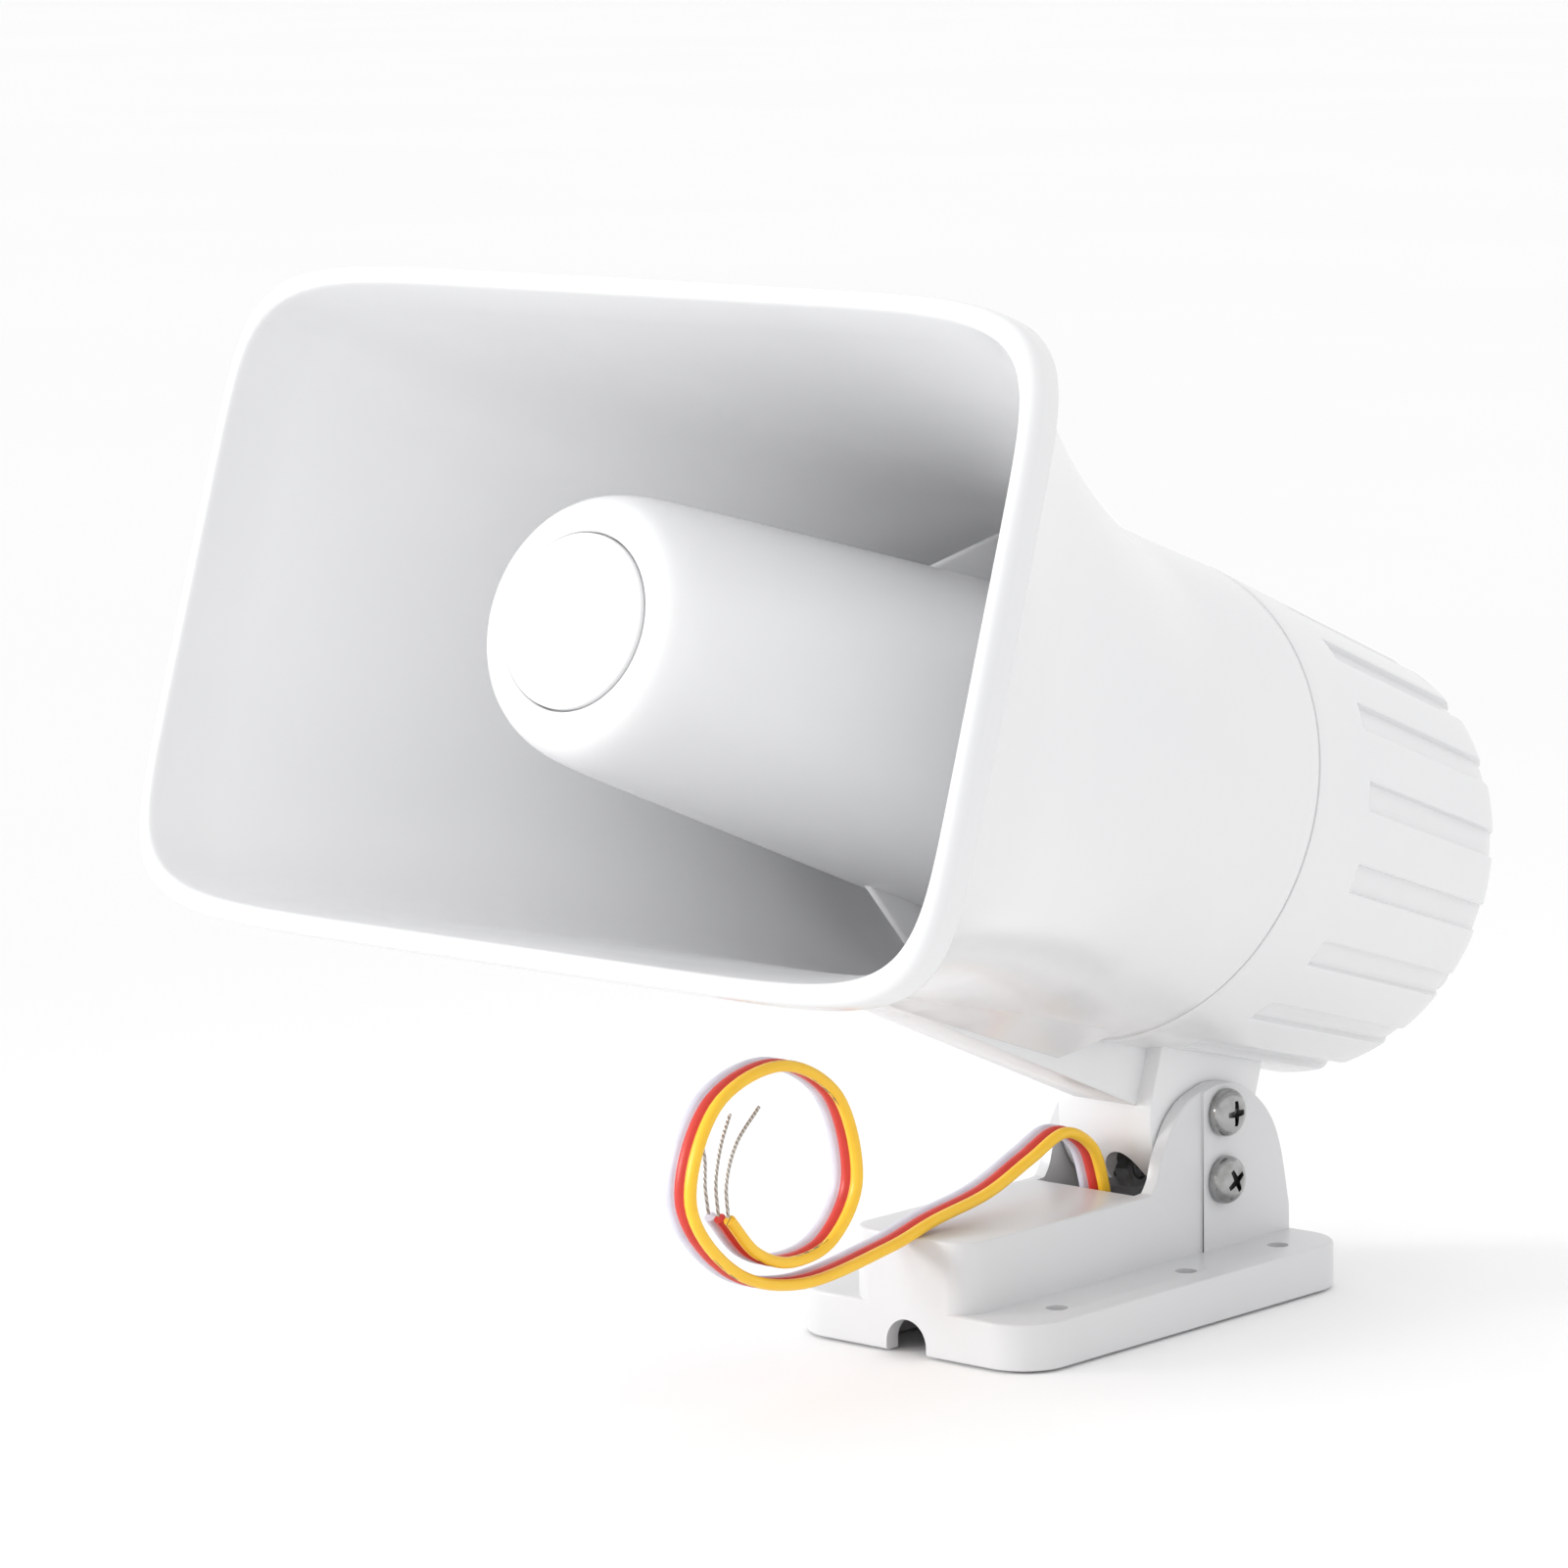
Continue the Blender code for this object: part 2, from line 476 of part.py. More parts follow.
start = -math.pi / 2 + math.radians(REST_TILT - TILT_DOWN - 1.5)
turn = math.radians(TILT_UP + TILT_DOWN + 3.0)
outer_arc = []
inner_arc = []
for k in range(13):
    a = start + turn * k / 12
    outer_arc.append((PIVOT_S + (LOCK_DROP + HOLE) * math.cos(a), PIVOT_U + (LOCK_DROP + HOLE) * math.sin(a)))
    inner_arc.append((PIVOT_S + (LOCK_DROP - HOLE) * math.cos(a), PIVOT_U + (LOCK_DROP - HOLE) * math.sin(a)))
for end, centre in ((start, 0), (start + turn, 12)):
    mid = (PIVOT_S + LOCK_DROP * math.cos(end), PIVOT_U + LOCK_DROP * math.sin(end))
    rod_into(slot, (-30, mid[0], mid[1]), (30, mid[0], mid[1]), HOLE, 16)
slot_ends = finish("slot_ends", slot, None, cutter=True, frame=horn_frame, tilts=True)
boolean(horn, prism("slot_arc", outer_arc + inner_arc[::-1], -30, 30, None, cutter=True, frame=horn_frame,
                    tilts=True), "DIFFERENCE")
boolean(horn, slot_ends, "DIFFERENCE")
bore = bmesh.new()
rod_into(bore, (-30, PIVOT_S, PIVOT_U), (30, PIVOT_S, PIVOT_U), HOLE)
boolean(horn, finish("pivot_bore", bore, None, cutter=True, frame=horn_frame, tilts=True), "DIFFERENCE")

# Reflector: the bullet in the mouth, hollow and open at the back, on four vanes
BR = BULLET_RADIUS
grow = 0.0655
bullet = [(9.0, 0.0), (9.0, BR - 4.0), (14.0, BR - 1.5), (BULLET_END, BR - 2.2 + grow * BULLET_END),
          (BULLET_END, BR + grow * BULLET_END), (14.0, BR + 0.8), (9.0, BR - 0.1), (5.6, BR - 1.6), (3.9, BR - 3.5),
          (3.2, BR - 5.8), (3.2, BR - 8.0), (5.9, BR - 8.0), (5.9, 0.0)]
reflector = lathe("reflector", bullet, white, steps=36, closed=False, frame=horn_frame, tilts=True)
vane_reach = INNER - 0.4
root = BR + grow * BULLET_END - 1.1
vane = [(BULLET_END - 27.0, root - 1.4), (BULLET_END - 1.0, vane_reach - 1.0), (BULLET_END + 3.0, vane_reach),
        (BULLET_END + 15.0, vane_reach), (BULLET_END + 15.0, vane_reach - 6.0), (BULLET_END - 0.3, root)]
for tag, quarter in (("top", 0), ("left", 1), ("bottom", 2), ("right", 3)):
    bm = bmesh.new()
    prism_into(bm, vane, -1.0, 1.0)
    bmesh.ops.rotate(bm, verts=bm.verts, cent=(0, 0, 0), matrix=Matrix.Rotation(math.pi / 2 * quarter, 3, "Y"))
    boolean(reflector, finish("vane_" + tag, bm, None, cutter=True, frame=horn_frame, tilts=True), "UNION")
DISC = BR - 8.0 - GAP
disc = [(5.6, 0.0), (5.6, DISC), (3.0, DISC), (2.6, DISC - 0.4), (2.6, 9.0), (3.0, 7.9), (3.8, 5.4), (4.3, 2.6),
        (4.4, 0.0)]
lathe("reflector_disc", disc, white, steps=30, closed=False, frame=horn_frame, tilts=True)

# Throat tube and compression driver
B = BULKHEAD
tube = [(24.0, 12.0), (24.0, 13.6), (B + 0.3, 9.2), (B + 0.3, DRIVER_RADIUS), (B + 2.8, DRIVER_RADIUS),
        (B + 2.8, 7.6)]
throat = lathe("throat_tube", tube, white, steps=24, frame=horn_frame, tilts=True)
clamp = lathe("clamp_ring", [(B + 3.1, 23.8), (B + 3.1, DRIVER_RADIUS), (B + 7.7, DRIVER_RADIUS), (B + 7.7, 23.8)],
              black_plastic, steps=24, frame=horn_frame, tilts=True)
top_plate = lathe("top_plate", [(B + 8.0, 13.9), (B + 8.0, DRIVER_RADIUS), (B + 11.5, DRIVER_RADIUS), (B + 11.5, 13.9)],
                  zinc, steps=24, frame=horn_frame, tilts=True)
lathe("magnet_ring", [(B + 11.8, 16.5), (B + 11.8, MAGNET_RADIUS), (B + 21.5, MAGNET_RADIUS), (B + 21.5, 16.5)],
      ferrite, steps=24, frame=horn_frame, tilts=True)
lathe("back_plate", [(B + 8.4, 0.0), (B + 8.4, 11.8), (B + 21.8, 11.8), (B + 21.8, MAGNET_RADIUS - 1),
                     (B + 25.4, MAGNET_RADIUS - 1), (B + 25.4, 0.0)],
      zinc, steps=24, closed=False, frame=horn_frame, tilts=True)
dome = [(B + 3.9, 0.0), (B + 4.1, 5.0), (B + 4.9, 10.0), (B + 5.3, 13.0), (B + 4.9, 18.0), (B + 5.3, 23.3),
        (B + 5.8, 23.3), (B + 5.5, 18.0), (B + 5.9, 13.2), (B + 5.5, 10.0), (B + 4.7, 5.0), (B + 4.5, 0.0)]
lathe("diaphragm", dome, film, steps=24, closed=False, frame=horn_frame, tilts=True)
lathe("voice_coil", [(B + 6.2, 12.3), (B + 6.2, 13.3), (B + 14.0, 13.3), (B + 14.0, 12.3)], copper, steps=24,
      frame=horn_frame, tilts=True)
bolts = bmesh.new()
for a in (30, 150, 270):
    x, z = ring_spot(DRIVER_RADIUS - 2.5, a)
    rod_into(bolts, (x, B - 1, z), (x, B + 13, z), 1.75, 12)
driver_holes = finish("driver_holes", bolts, None, cutter=True, frame=horn_frame, tilts=True)
for piece in (throat, clamp, top_plate):
    boolean(piece, driver_holes, "DIFFERENCE")


def machine_screw(name, x, z, tip, seat, shank, head, height, facing=1):
    """A screw along the horn axis, its head at seat and towards the back (facing 1) or the front (-1)."""
    profile = [(tip, 0.0), (tip, shank), (seat, shank), (seat, head), (seat + 0.6 * height * facing, head),
               (seat + height * facing, 0.6 * head), (seat + height * facing, 0.0)]
    return lathe(name, profile, zinc, steps=10, closed=False, place=Matrix.Translation((x, 0, z)),
                 frame=horn_frame, tilts=True)


for k, a in enumerate((30, 150, 270)):
    x, z = ring_spot(DRIVER_RADIUS - 2.5, a)
    machine_screw(f"driver_screw_{k + 1}", x, z, B - 1.6, B + 11.8, 1.45, 2.3, 1.8)

# Rear cap with its grooves, seal, screws
S = SEAM
E = HORN_LENGTH
R = BARREL_RADIUS
skin = [(S + 0.3, R - 2.2), (S + 0.3, R), (S + 19.0, R - cap_slope * 19.0), (E - 4.5, REAR_RADIUS + 0.3),
        (E - 1.6, REAR_RADIUS - 0.9), (E, REAR_RADIUS - 3.2), (E, 0.0), (E - 2.5, 0.0), (E - 2.5, REAR_RADIUS - 2.7),
        (S + 12.5, R - 3.6), (S + 12.5, R - 4.9), (S + 10.0, R - 4.9), (S + 10.0, R - 2.2)]
bm = bmesh.new()
lathe_into(bm, skin[6::-1] + skin[:6:-1], 54, closed=False)
cap = finish("rear_cap", bm, white, frame=horn_frame, tilts=True)
posts = bmesh.new()
wells = bmesh.new()
for a in (90, 210, 330):
    x, z = ring_spot(POST_RING, a)
    rod_into(posts, (x, S + 21.3, z), (x, E - 1.0, z), 4.5, 16)
    rod_into(wells, (x, S + 25.0, z), (x, E + 3.0, z), 3.3, 16)
    rod_into(wells, (x, S + 20.0, z), (x, S + 26.0, z), 1.9, 12)
BOARD = S + 31.0
for x in (-20.0, 20.0):
    rod_into(posts, (x, BOARD + 1.9, 12.5), (x, E - 1.0, 12.5), 3.0, 12)
boolean(cap, finish("cap_posts", posts, None, cutter=True, frame=horn_frame, tilts=True), "UNION")
well_cut = finish("cap_wells", wells, None, cutter=True, frame=horn_frame, tilts=True)
boolean(cap, well_cut, "DIFFERENCE", crossing=True)
grooves = bmesh.new()
GROOVE_HALF = math.radians(3.6)
for k in range(GROOVES):
    middle = 2 * math.pi * (k + 0.5) / GROOVES
    depth = 1.5
    flat = []
    for station, radius in ((S + 19.5, R - cap_slope * 19.5), (E + 2.0, REAR_RADIUS + 0.1)):
        flat.append((station, radius - depth, radius + 3.0))
    corners = []
    for station, low, high in flat:
        for radius in (low, high):
            for edge in (-1, 1):
                a = middle + edge * GROOVE_HALF
                corners.append(grooves.verts.new((radius * math.cos(a), station, radius * math.sin(a))))
    for quad in ((0, 1, 3, 2), (4, 6, 7, 5), (0, 4, 5, 1), (2, 3, 7, 6), (0, 2, 6, 4), (1, 5, 7, 3)):
        grooves.faces.new([corners[q] for q in quad])
boolean(cap, finish("cap_grooves", grooves, None, cutter=True, frame=horn_frame, tilts=True), "DIFFERENCE")
pins = bmesh.new()
for x in (-20.0, 20.0):
    rod_into(pins, (x, BOARD - 2.0, 12.5), (x, BOARD + 11.0, 12.5), 1.6, 12)
board_pilots = finish("board_pilots", pins, None, cutter=True, frame=horn_frame, tilts=True)
boolean(cap, board_pilots, "DIFFERENCE")
lathe("cap_gasket", [(COLLAR_END + 0.3, R - 4.8), (COLLAR_END + 0.3, R - 2.6), (S + 9.7, R - 2.6), (S + 9.7, R - 4.8)],
      seal, steps=36, frame=horn_frame, tilts=True)
for k, a in enumerate((90, 210, 330)):
    x, z = ring_spot(POST_RING, a)
    machine_screw(f"cap_screw_{k + 1}", x, z, S + 9.0, S + 25.3, 1.45, 2.9, 2.6)

# Circuit board on two posts of the cap
bm = bmesh.new()
block_into(bm, -25, 25, BOARD, BOARD + 1.6, -19, 19)
board = finish("circuit_board", bm, laminate, frame=horn_frame, tilts=True)
boolean(board, board_pilots, "DIFFERENCE")
for k, x in enumerate((-20.0, 20.0)):
    machine_screw(f"board_screw_{k + 1}", x, 12.5, BOARD + 8.0, BOARD - 0.3, 1.3, 2.6, 1.8, facing=-1)
FACE = BOARD + 1.9


def board_block(name, x, z, wide, high, tall, look):
    bm = bmesh.new()
    block_into(bm, x - wide / 2, x + wide / 2, FACE, FACE + tall, z - high / 2, z + high / 2)
    return finish(name, bm, look, frame=horn_frame, tilts=True)


board_block("transformer", 0.0, -7.5, 18.0, 14.0, 13.0, copper)
board_block("transistor_1", -8.0, 10.4, 10.0, 4.5, 15.0, black_plastic)
board_block("transistor_2", 8.0, 10.4, 10.0, 4.5, 15.0, black_plastic)
board_block("heat_sink", 0.0, 13.8, 30.0, 1.5, 19.0, aluminium)
board_block("tone_chip", 0.0, 4.3, 10.0, 6.4, 3.5, black_plastic)
for k, (x, z, r, tall) in enumerate(((-18.0, -8.0, 5.0, 16.0), (18.0, -9.0, 4.0, 12.0))):
    lathe(f"capacitor_{k + 1}", [(FACE, 0.0), (FACE, r), (FACE + tall, r), (FACE + tall, 0.0)], sleeve, steps=14,
          closed=False, place=Matrix.Translation((x, 0, z)), frame=horn_frame, tilts=True)

# Flat three-core cable: out of the tongue, over the box, one loop in front, then three bare ends
CABLE_WIDTH = 3 * CORE
drop = BOX_HEIGHT
knots = [(6.6, drop - 9.5), (6.5, drop - 4.5), (5.6, drop + 1.5), (2.0, drop + 9.0), (-6.4, drop + 13.0),
         (-17.0, drop + 9.5), (-30.0, drop + 5.0), (-46.0, drop + 2.4), (-60.0, drop - 0.6), (-84.0, drop - 3.0),
         (-103.0, drop + 2.5), (-115.0, drop + 17.0), (-108.0, drop + 34.0), (-90.0, drop + 39.0),
         (-74.0, drop + 31.0), (-68.5, drop + 14.5), (-75.5, drop + 4.0), (-87.0, drop + 1.6), (-97.0, drop + 5.0),
         (-104.5, drop + 12.5)]


def spline(points, steps):
    """A Catmull-Rom curve through the points."""
    ends = [points[0] + (points[0] - points[1])] + points + [points[-1] + (points[-1] - points[-2])]
    made = []
    for p0, p1, p2, p3 in zip(ends, ends[1:], ends[2:], ends[3:]):
        for k in range(steps):
            t = k / steps
            made.append(0.5 * ((2 * p1) + (p2 - p0) * t + (2 * p0 - 5 * p1 + 4 * p2 - p3) * t * t
                               + (3 * p1 - p0 - 3 * p2 + p3) * t ** 3))
    made.append(points[-1])
    return made


def sweep(name, path, section, look):
    """A closed tube whose section is given as (x, normal) offsets; the path lies near the YZ plane."""
    bm = bmesh.new()
    rings = []
    for k, spot in enumerate(path):
        ahead = path[min(k + 1, len(path) - 1)] - path[max(k - 1, 0)]
        normal = Vector((1, 0, 0)).cross(ahead).normalized()
        rings.append([bm.verts.new(spot + Vector((1, 0, 0)) * a + normal * b) for a, b in section])
    count = len(section)
    for first, second in zip(rings, rings[1:]):
        for k in range(count):
            bm.faces.new((first[k], first[(k + 1) % count], second[(k + 1) % count], second[k]))
    bm.faces.new(rings[0][::-1])
    bm.faces.new(rings[-1])
    return finish(name, bm, look, smooth=True)


path = spline([Vector((0.6, y, z)) for y, z in knots], 3)
half = CABLE_WIDTH / 2
thick = 0.46 * CORE
ribbon = [(-half, 0.0), (-half + 0.6, -thick), (half - 0.6, -thick), (half, 0.0), (half - 0.6, thick),
          (-half + 0.6, thick)]
sweep("flat_cable", path, ribbon, cable_sheath)
wire = [(0.33 * math.cos(math.pi * k / 3), 0.33 * math.sin(math.pi * k / 3)) for k in range(6)]
last = path[-1]
for k, (spread, reach, lean) in enumerate(((-CORE, 15.0, -1.5), (0.0, 18.5, 3.5), (CORE, 19.5, 8.0))):
    start = Vector((0.6 + spread, last.y - 0.35, last.z + 0.5))
    points = [start, start + Vector((0.1 * spread, -0.6, reach * 0.35)),
              start + Vector((0.2 * spread, 0.25 * lean, reach * 0.7)), start + Vector((0.3 * spread, lean, reach))]
    sweep(f"bare_end_{k + 1}", spline(points, 3), wire, tinned)
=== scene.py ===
"""Looks of the rectangular horn siren on its tilting yoke base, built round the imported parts.
Sizes in the constants are millimetres and degrees. Finished meshes are in metres, in the parts' frame."""
import math

import bmesh
import bpy
from mathutils import Matrix, Vector


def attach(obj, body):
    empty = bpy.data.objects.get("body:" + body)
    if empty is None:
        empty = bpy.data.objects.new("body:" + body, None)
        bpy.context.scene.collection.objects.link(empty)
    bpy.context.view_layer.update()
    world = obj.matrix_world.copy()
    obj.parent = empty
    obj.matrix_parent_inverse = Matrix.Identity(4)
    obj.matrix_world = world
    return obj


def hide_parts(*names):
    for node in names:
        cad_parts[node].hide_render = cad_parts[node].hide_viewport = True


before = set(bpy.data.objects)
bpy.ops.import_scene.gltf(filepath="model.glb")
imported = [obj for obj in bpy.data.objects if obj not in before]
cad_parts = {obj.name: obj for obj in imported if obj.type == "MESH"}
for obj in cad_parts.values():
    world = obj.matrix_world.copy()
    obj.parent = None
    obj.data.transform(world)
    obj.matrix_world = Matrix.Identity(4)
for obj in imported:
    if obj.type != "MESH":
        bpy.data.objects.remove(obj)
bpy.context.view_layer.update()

MM = 0.001
scene = bpy.context.scene
workshop = scene.collection

# Overall sizes of the siren, as the parts have them
MOUTH_WIDTH = 194.0
MOUTH_HEIGHT = 124.0
HORN_LENGTH = 236.0
BARREL = 48.5
CAP_LENGTH = 71.0
REST_TILT = 17.9
BASE_LENGTH = 102.0
BASE_WIDTH = 61.0
BASE_HEIGHT = 9.1
YOKE_WIDTH = 29.8
BOX_HEIGHT = 23.0
PIVOT_HEIGHT = 36.4
PIVOT_BACK = 27.6
LOCK_DROP = 13.5
WALL = 2.4
GAP = 0.3
EAR_WALL = 2.8
EAR_PAD = 0.7
TONGUE_RADIUS = 18.0
TONGUE_WALL = 3.0
HOLE = 2.75
HEAD_RADIUS = 4.8
HEAD_HEIGHT = 3.3
SHANK = 2.4
TILT_UP = 10.0
TILT_DOWN = 6.0
GROOVES = 18
GROOVE_DEPTH = 1.5
GROOVE_HALF = 3.6
CORE = 2.4

SEAM = HORN_LENGTH - CAP_LENGTH
BULKHEAD = SEAM - 15.0
COLLAR_END = SEAM + 8.0
FLARE_END = SEAM - 30.0
PIVOT_S = HORN_LENGTH - 37.8
PIVOT_U = -(BARREL + 7.1)
REAR = BARREL - 4.9
POST_RING = BARREL - 11.0
DRIVER = BARREL - 15.9
BULLET = 0.5 * BARREL
BULLET_END = BULKHEAD - 28.0
BULLET_GROW = 0.0655
DISC = BULLET - 8.0 - GAP
CAP_SLOPE = (BARREL - REAR) / CAP_LENGTH
HALF_YOKE = YOKE_WIDTH / 2
HALF_LENGTH = BASE_LENGTH / 2
POCKET_HALF = HALF_YOKE - EAR_WALL
TONGUE_HALF = POCKET_HALF - 0.5
KEEL_HALF = POCKET_HALF - 4.1
SADDLE_HALF = KEEL_HALF + 9.6
BOX_END = 4.2
EAR_TOP = PIVOT_HEIGHT + 5.8
HEAD_SEAT = HALF_YOKE + EAR_PAD + GAP

TILT = math.radians(REST_TILT)
BACK = Vector((0.0, math.cos(TILT), -math.sin(TILT)))
RISE = Vector((0.0, math.sin(TILT), math.cos(TILT)))
PIVOT = Vector((0.0, PIVOT_BACK, PIVOT_HEIGHT))
LOCK = PIVOT - Vector((0.0, 0.0, LOCK_DROP))
MOUTH = PIVOT - BACK * PIVOT_S - RISE * PIVOT_U
TO_METRES = Matrix.Diagonal((MM, MM, MM, 1.0))
HORN_PLACE = Matrix.Translation(MOUTH * MM) @ Matrix.Rotation(-TILT, 4, "X") @ TO_METRES
BASE_PLACE = TO_METRES

# ---------------------------------------------------------------- camera
CAMERA_SPOT = Vector((0.7696, -0.9655, 0.2889))
CAMERA_AZIMUTH = math.radians(41.150)
CAMERA_ELEVATION = math.radians(8.528)
CAMERA_ROLL = math.radians(0.507)


def stand_camera():
    lens = bpy.data.cameras.new("camera")
    lens.sensor_width = 36.0
    lens.lens = 147.9
    lens.clip_start = 0.01
    lens.clip_end = 50.0
    stand = bpy.data.objects.new("camera", lens)
    az, el, roll = CAMERA_AZIMUTH, CAMERA_ELEVATION, CAMERA_ROLL
    behind = Vector((math.sin(az) * math.cos(el), -math.cos(az) * math.cos(el), math.sin(el)))
    right = Vector((math.cos(az), math.sin(az), 0.0))
    up = behind.cross(right)
    turned_right = right * math.cos(roll) - up * math.sin(roll)
    turned_up = right * math.sin(roll) + up * math.cos(roll)
    pose = Matrix((turned_right, turned_up, behind)).transposed().to_4x4()
    stand.matrix_world = Matrix.Translation(CAMERA_SPOT) @ pose
    workshop.objects.link(stand)
    scene.camera = stand


stand_camera()


# ---------------------------------------------------------------- node trees
class Wire:
    """A socket that takes part in sums, products and powers."""

    def __init__(self, bench, socket):
        self.bench = bench
        self.socket = socket

    def __add__(self, other):
        return self.bench.math("ADD", self, other)

    def __radd__(self, other):
        return self.bench.math("ADD", other, self)

    def __sub__(self, other):
        return self.bench.math("SUBTRACT", self, other)

    def __rsub__(self, other):
        return self.bench.math("SUBTRACT", other, self)

    def __mul__(self, other):
        return self.bench.math("MULTIPLY", self, other)

    def __rmul__(self, other):
        return self.bench.math("MULTIPLY", other, self)

    def __truediv__(self, other):
        return self.bench.math("DIVIDE", self, other)

    def __rtruediv__(self, other):
        return self.bench.math("DIVIDE", other, self)

    def __pow__(self, other):
        return self.bench.math("POWER", self, other)


class Bench:
    """A node tree with one way to add any node: its type, its settings, then its sockets."""

    def __init__(self, tree):
        self.tree = tree

    def node(self, kind, settings=None, sockets=None, out=0):
        made = self.tree.nodes.new(kind)
        for key, value in (settings or {}).items():
            setattr(made, key, value)
        for key, value in (sockets or {}).items():
            if isinstance(value, Wire):
                self.tree.links.new(value.socket, made.inputs[key])
            else:
                made.inputs[key].default_value = value
        return Wire(self, made.outputs[out]) if len(made.outputs) else made

    def math(self, operation, *values):
        return self.node("ShaderNodeMath", {"operation": operation}, dict(enumerate(values)))

    def between(self, value, low, high, first=0.0, last=1.0):
        """first below low, last above high, and a smooth ramp in between."""
        names = ("Value", "From Min", "From Max", "To Min", "To Max")
        return self.node("ShaderNodeMapRange", {"interpolation_type": "SMOOTHSTEP"},
                         dict(zip(names, (value, low, high, first, last))))

    def colours(self, share, first, last):
        return self.node("ShaderNodeMix", {"data_type": "RGBA"}, {0: share, 6: first, 7: last}, out=2)

    def place(self, turn=(0.0, 0.0, 0.0), scale=(1.0, 1.0, 1.0)):
        spot = self.node("ShaderNodeTexCoord", out="Object")
        return self.node("ShaderNodeMapping", None, {"Vector": spot, "Rotation": turn, "Scale": scale})

    def grain(self, scale, detail=2.0, roughness=0.5, vector=None):
        return self.node("ShaderNodeTexNoise", None, {"Vector": vector or self.place(), "Scale": scale,
                                                      "Detail": detail, "Roughness": roughness})


def rgb(red, green, blue):
    return (red, green, blue, 1.0)


def finish_of(name, recipe, **fixed):
    """A material: the recipe gives what changes over the surface, fixed sets the shader's plain values."""
    made = bpy.data.materials.new(name)
    made.use_nodes = True
    tree = made.node_tree
    shader = tree.nodes["Principled BSDF"]
    for key, value in fixed.items():
        shader.inputs[key.replace("_", " ")].default_value = value
    for key, wire in recipe(Bench(tree)).items():
        tree.links.new(wire.socket, shader.inputs[key])
    return made


def surface(bench, height, strength, depth):
    return bench.node("ShaderNodeBump", None, {"Height": height, "Strength": strength, "Distance": depth})


def moulded(light, shade, gloss, spread, peel):
    """Moulded plastic: faint clouding, uneven gloss, slow waves in the wall and a very fine orange peel."""
    def recipe(b):
        cloud = b.grain(11.0, 3.0)
        dust = b.grain(160.0, 6.0, 0.7)
        colour = b.colours(b.between(cloud, 0.3, 0.7), shade, light)
        speck = b.between(dust, 0.70, 0.78, 0.0, 0.05)
        colour = b.colours(speck, colour, rgb(0.55, 0.55, 0.54))
        shine = gloss + spread * b.grain(34.0, 3.0)
        waves = b.grain(26.0, 1.0) + 0.04 * b.grain(1500.0, 1.0) * peel
        return {"Base Color": colour, "Roughness": shine, "Normal": surface(b, waves, 0.12, 0.0006)}
    return recipe


def polished(colour, shade, gloss, scratch=(40.0, 900.0, 900.0), depth=0.00002):
    """Bright metal with fine drawn scratches and slight tarnish."""
    def recipe(b):
        lines = b.grain(1.0, 4.0, 0.6, b.place(scale=scratch))
        tarnish = b.between(b.grain(300.0, 3.0), 0.35, 0.75)
        return {"Base Color": b.colours(tarnish, colour, shade),
                "Roughness": gloss + 0.12 * tarnish + 0.06 * lines, "Normal": surface(b, lines, 0.2, depth)}
    return recipe


def matt(colour, shade, gloss, scale, depth):
    """A dull body with grain in its colour and its surface."""
    def recipe(b):
        grain = b.grain(scale, 4.0, 0.6)
        return {"Base Color": b.colours(b.between(grain, 0.35, 0.65), shade, colour),
                "Roughness": gloss + 0.1 * grain, "Normal": surface(b, grain, 0.4, depth)}
    return recipe


def winding(b):
    """Enamelled copper wire laid round the horn's axis."""
    lines = b.node("ShaderNodeTexWave", {"wave_type": "BANDS", "bands_direction": "Y"},
                   {"Vector": b.place(turn=(TILT, 0.0, 0.0)), "Scale": 900.0, "Distortion": 0.6}, out="Fac")
    return {"Base Color": b.colours(lines, rgb(0.35, 0.12, 0.04), rgb(0.78, 0.36, 0.14)),
            "Roughness": 0.28 + 0.15 * b.grain(400.0), "Normal": surface(b, lines, 0.6, 0.0001)}


def tracks(b):
    """Solder mask over copper tracks."""
    cells = b.node("ShaderNodeTexBrick", None, {"Vector": b.place(turn=(TILT, 0.0, 0.0)), "Scale": 160.0,
                                                "Mortar Size": 0.09}, out="Fac")
    return {"Base Color": b.colours(cells, rgb(0.012, 0.14, 0.05), rgb(0.05, 0.32, 0.1)),
            "Roughness": 0.35 + 0.2 * b.grain(500.0), "Normal": surface(b, cells, 0.4, 0.00005)}


LIGHT_PLASTIC = rgb(0.815, 0.817, 0.822)
SHADE_PLASTIC = rgb(0.79, 0.794, 0.803)
white_plastic = finish_of("gloss_white_plastic", moulded(LIGHT_PLASTIC, SHADE_PLASTIC, 0.16, 0.1, 1.0),
                          IOR=1.5)
LIGHT_BASE = rgb(0.69, 0.692, 0.70)
SHADE_BASE = rgb(0.66, 0.664, 0.675)
base_plastic = finish_of("satin_white_plastic", moulded(LIGHT_BASE, SHADE_BASE, 0.24, 0.12, 1.6), IOR=1.5)
plated = finish_of("nickel_plate", polished(rgb(0.42, 0.42, 0.42), rgb(0.30, 0.30, 0.29), 0.14), Metallic=1.0)
zinc = finish_of("zinc_plate", polished(rgb(0.66, 0.67, 0.68), rgb(0.48, 0.48, 0.45), 0.3), Metallic=1.0)
ferrite = finish_of("fired_ferrite",
                    matt(rgb(0.075, 0.075, 0.08), rgb(0.04, 0.04, 0.045), 0.6, 900.0, 0.00015))
film = finish_of("amber_film", matt(rgb(0.66, 0.38, 0.10), rgb(0.5, 0.26, 0.06), 0.28, 300.0, 0.00003))
copper = finish_of("copper_winding", winding, Metallic=0.9)
rubber = finish_of("seal_rubber", matt(rgb(0.035, 0.035, 0.036), rgb(0.02, 0.02, 0.02), 0.7, 700.0, 0.0001))
laminate = finish_of("board_laminate", tracks)
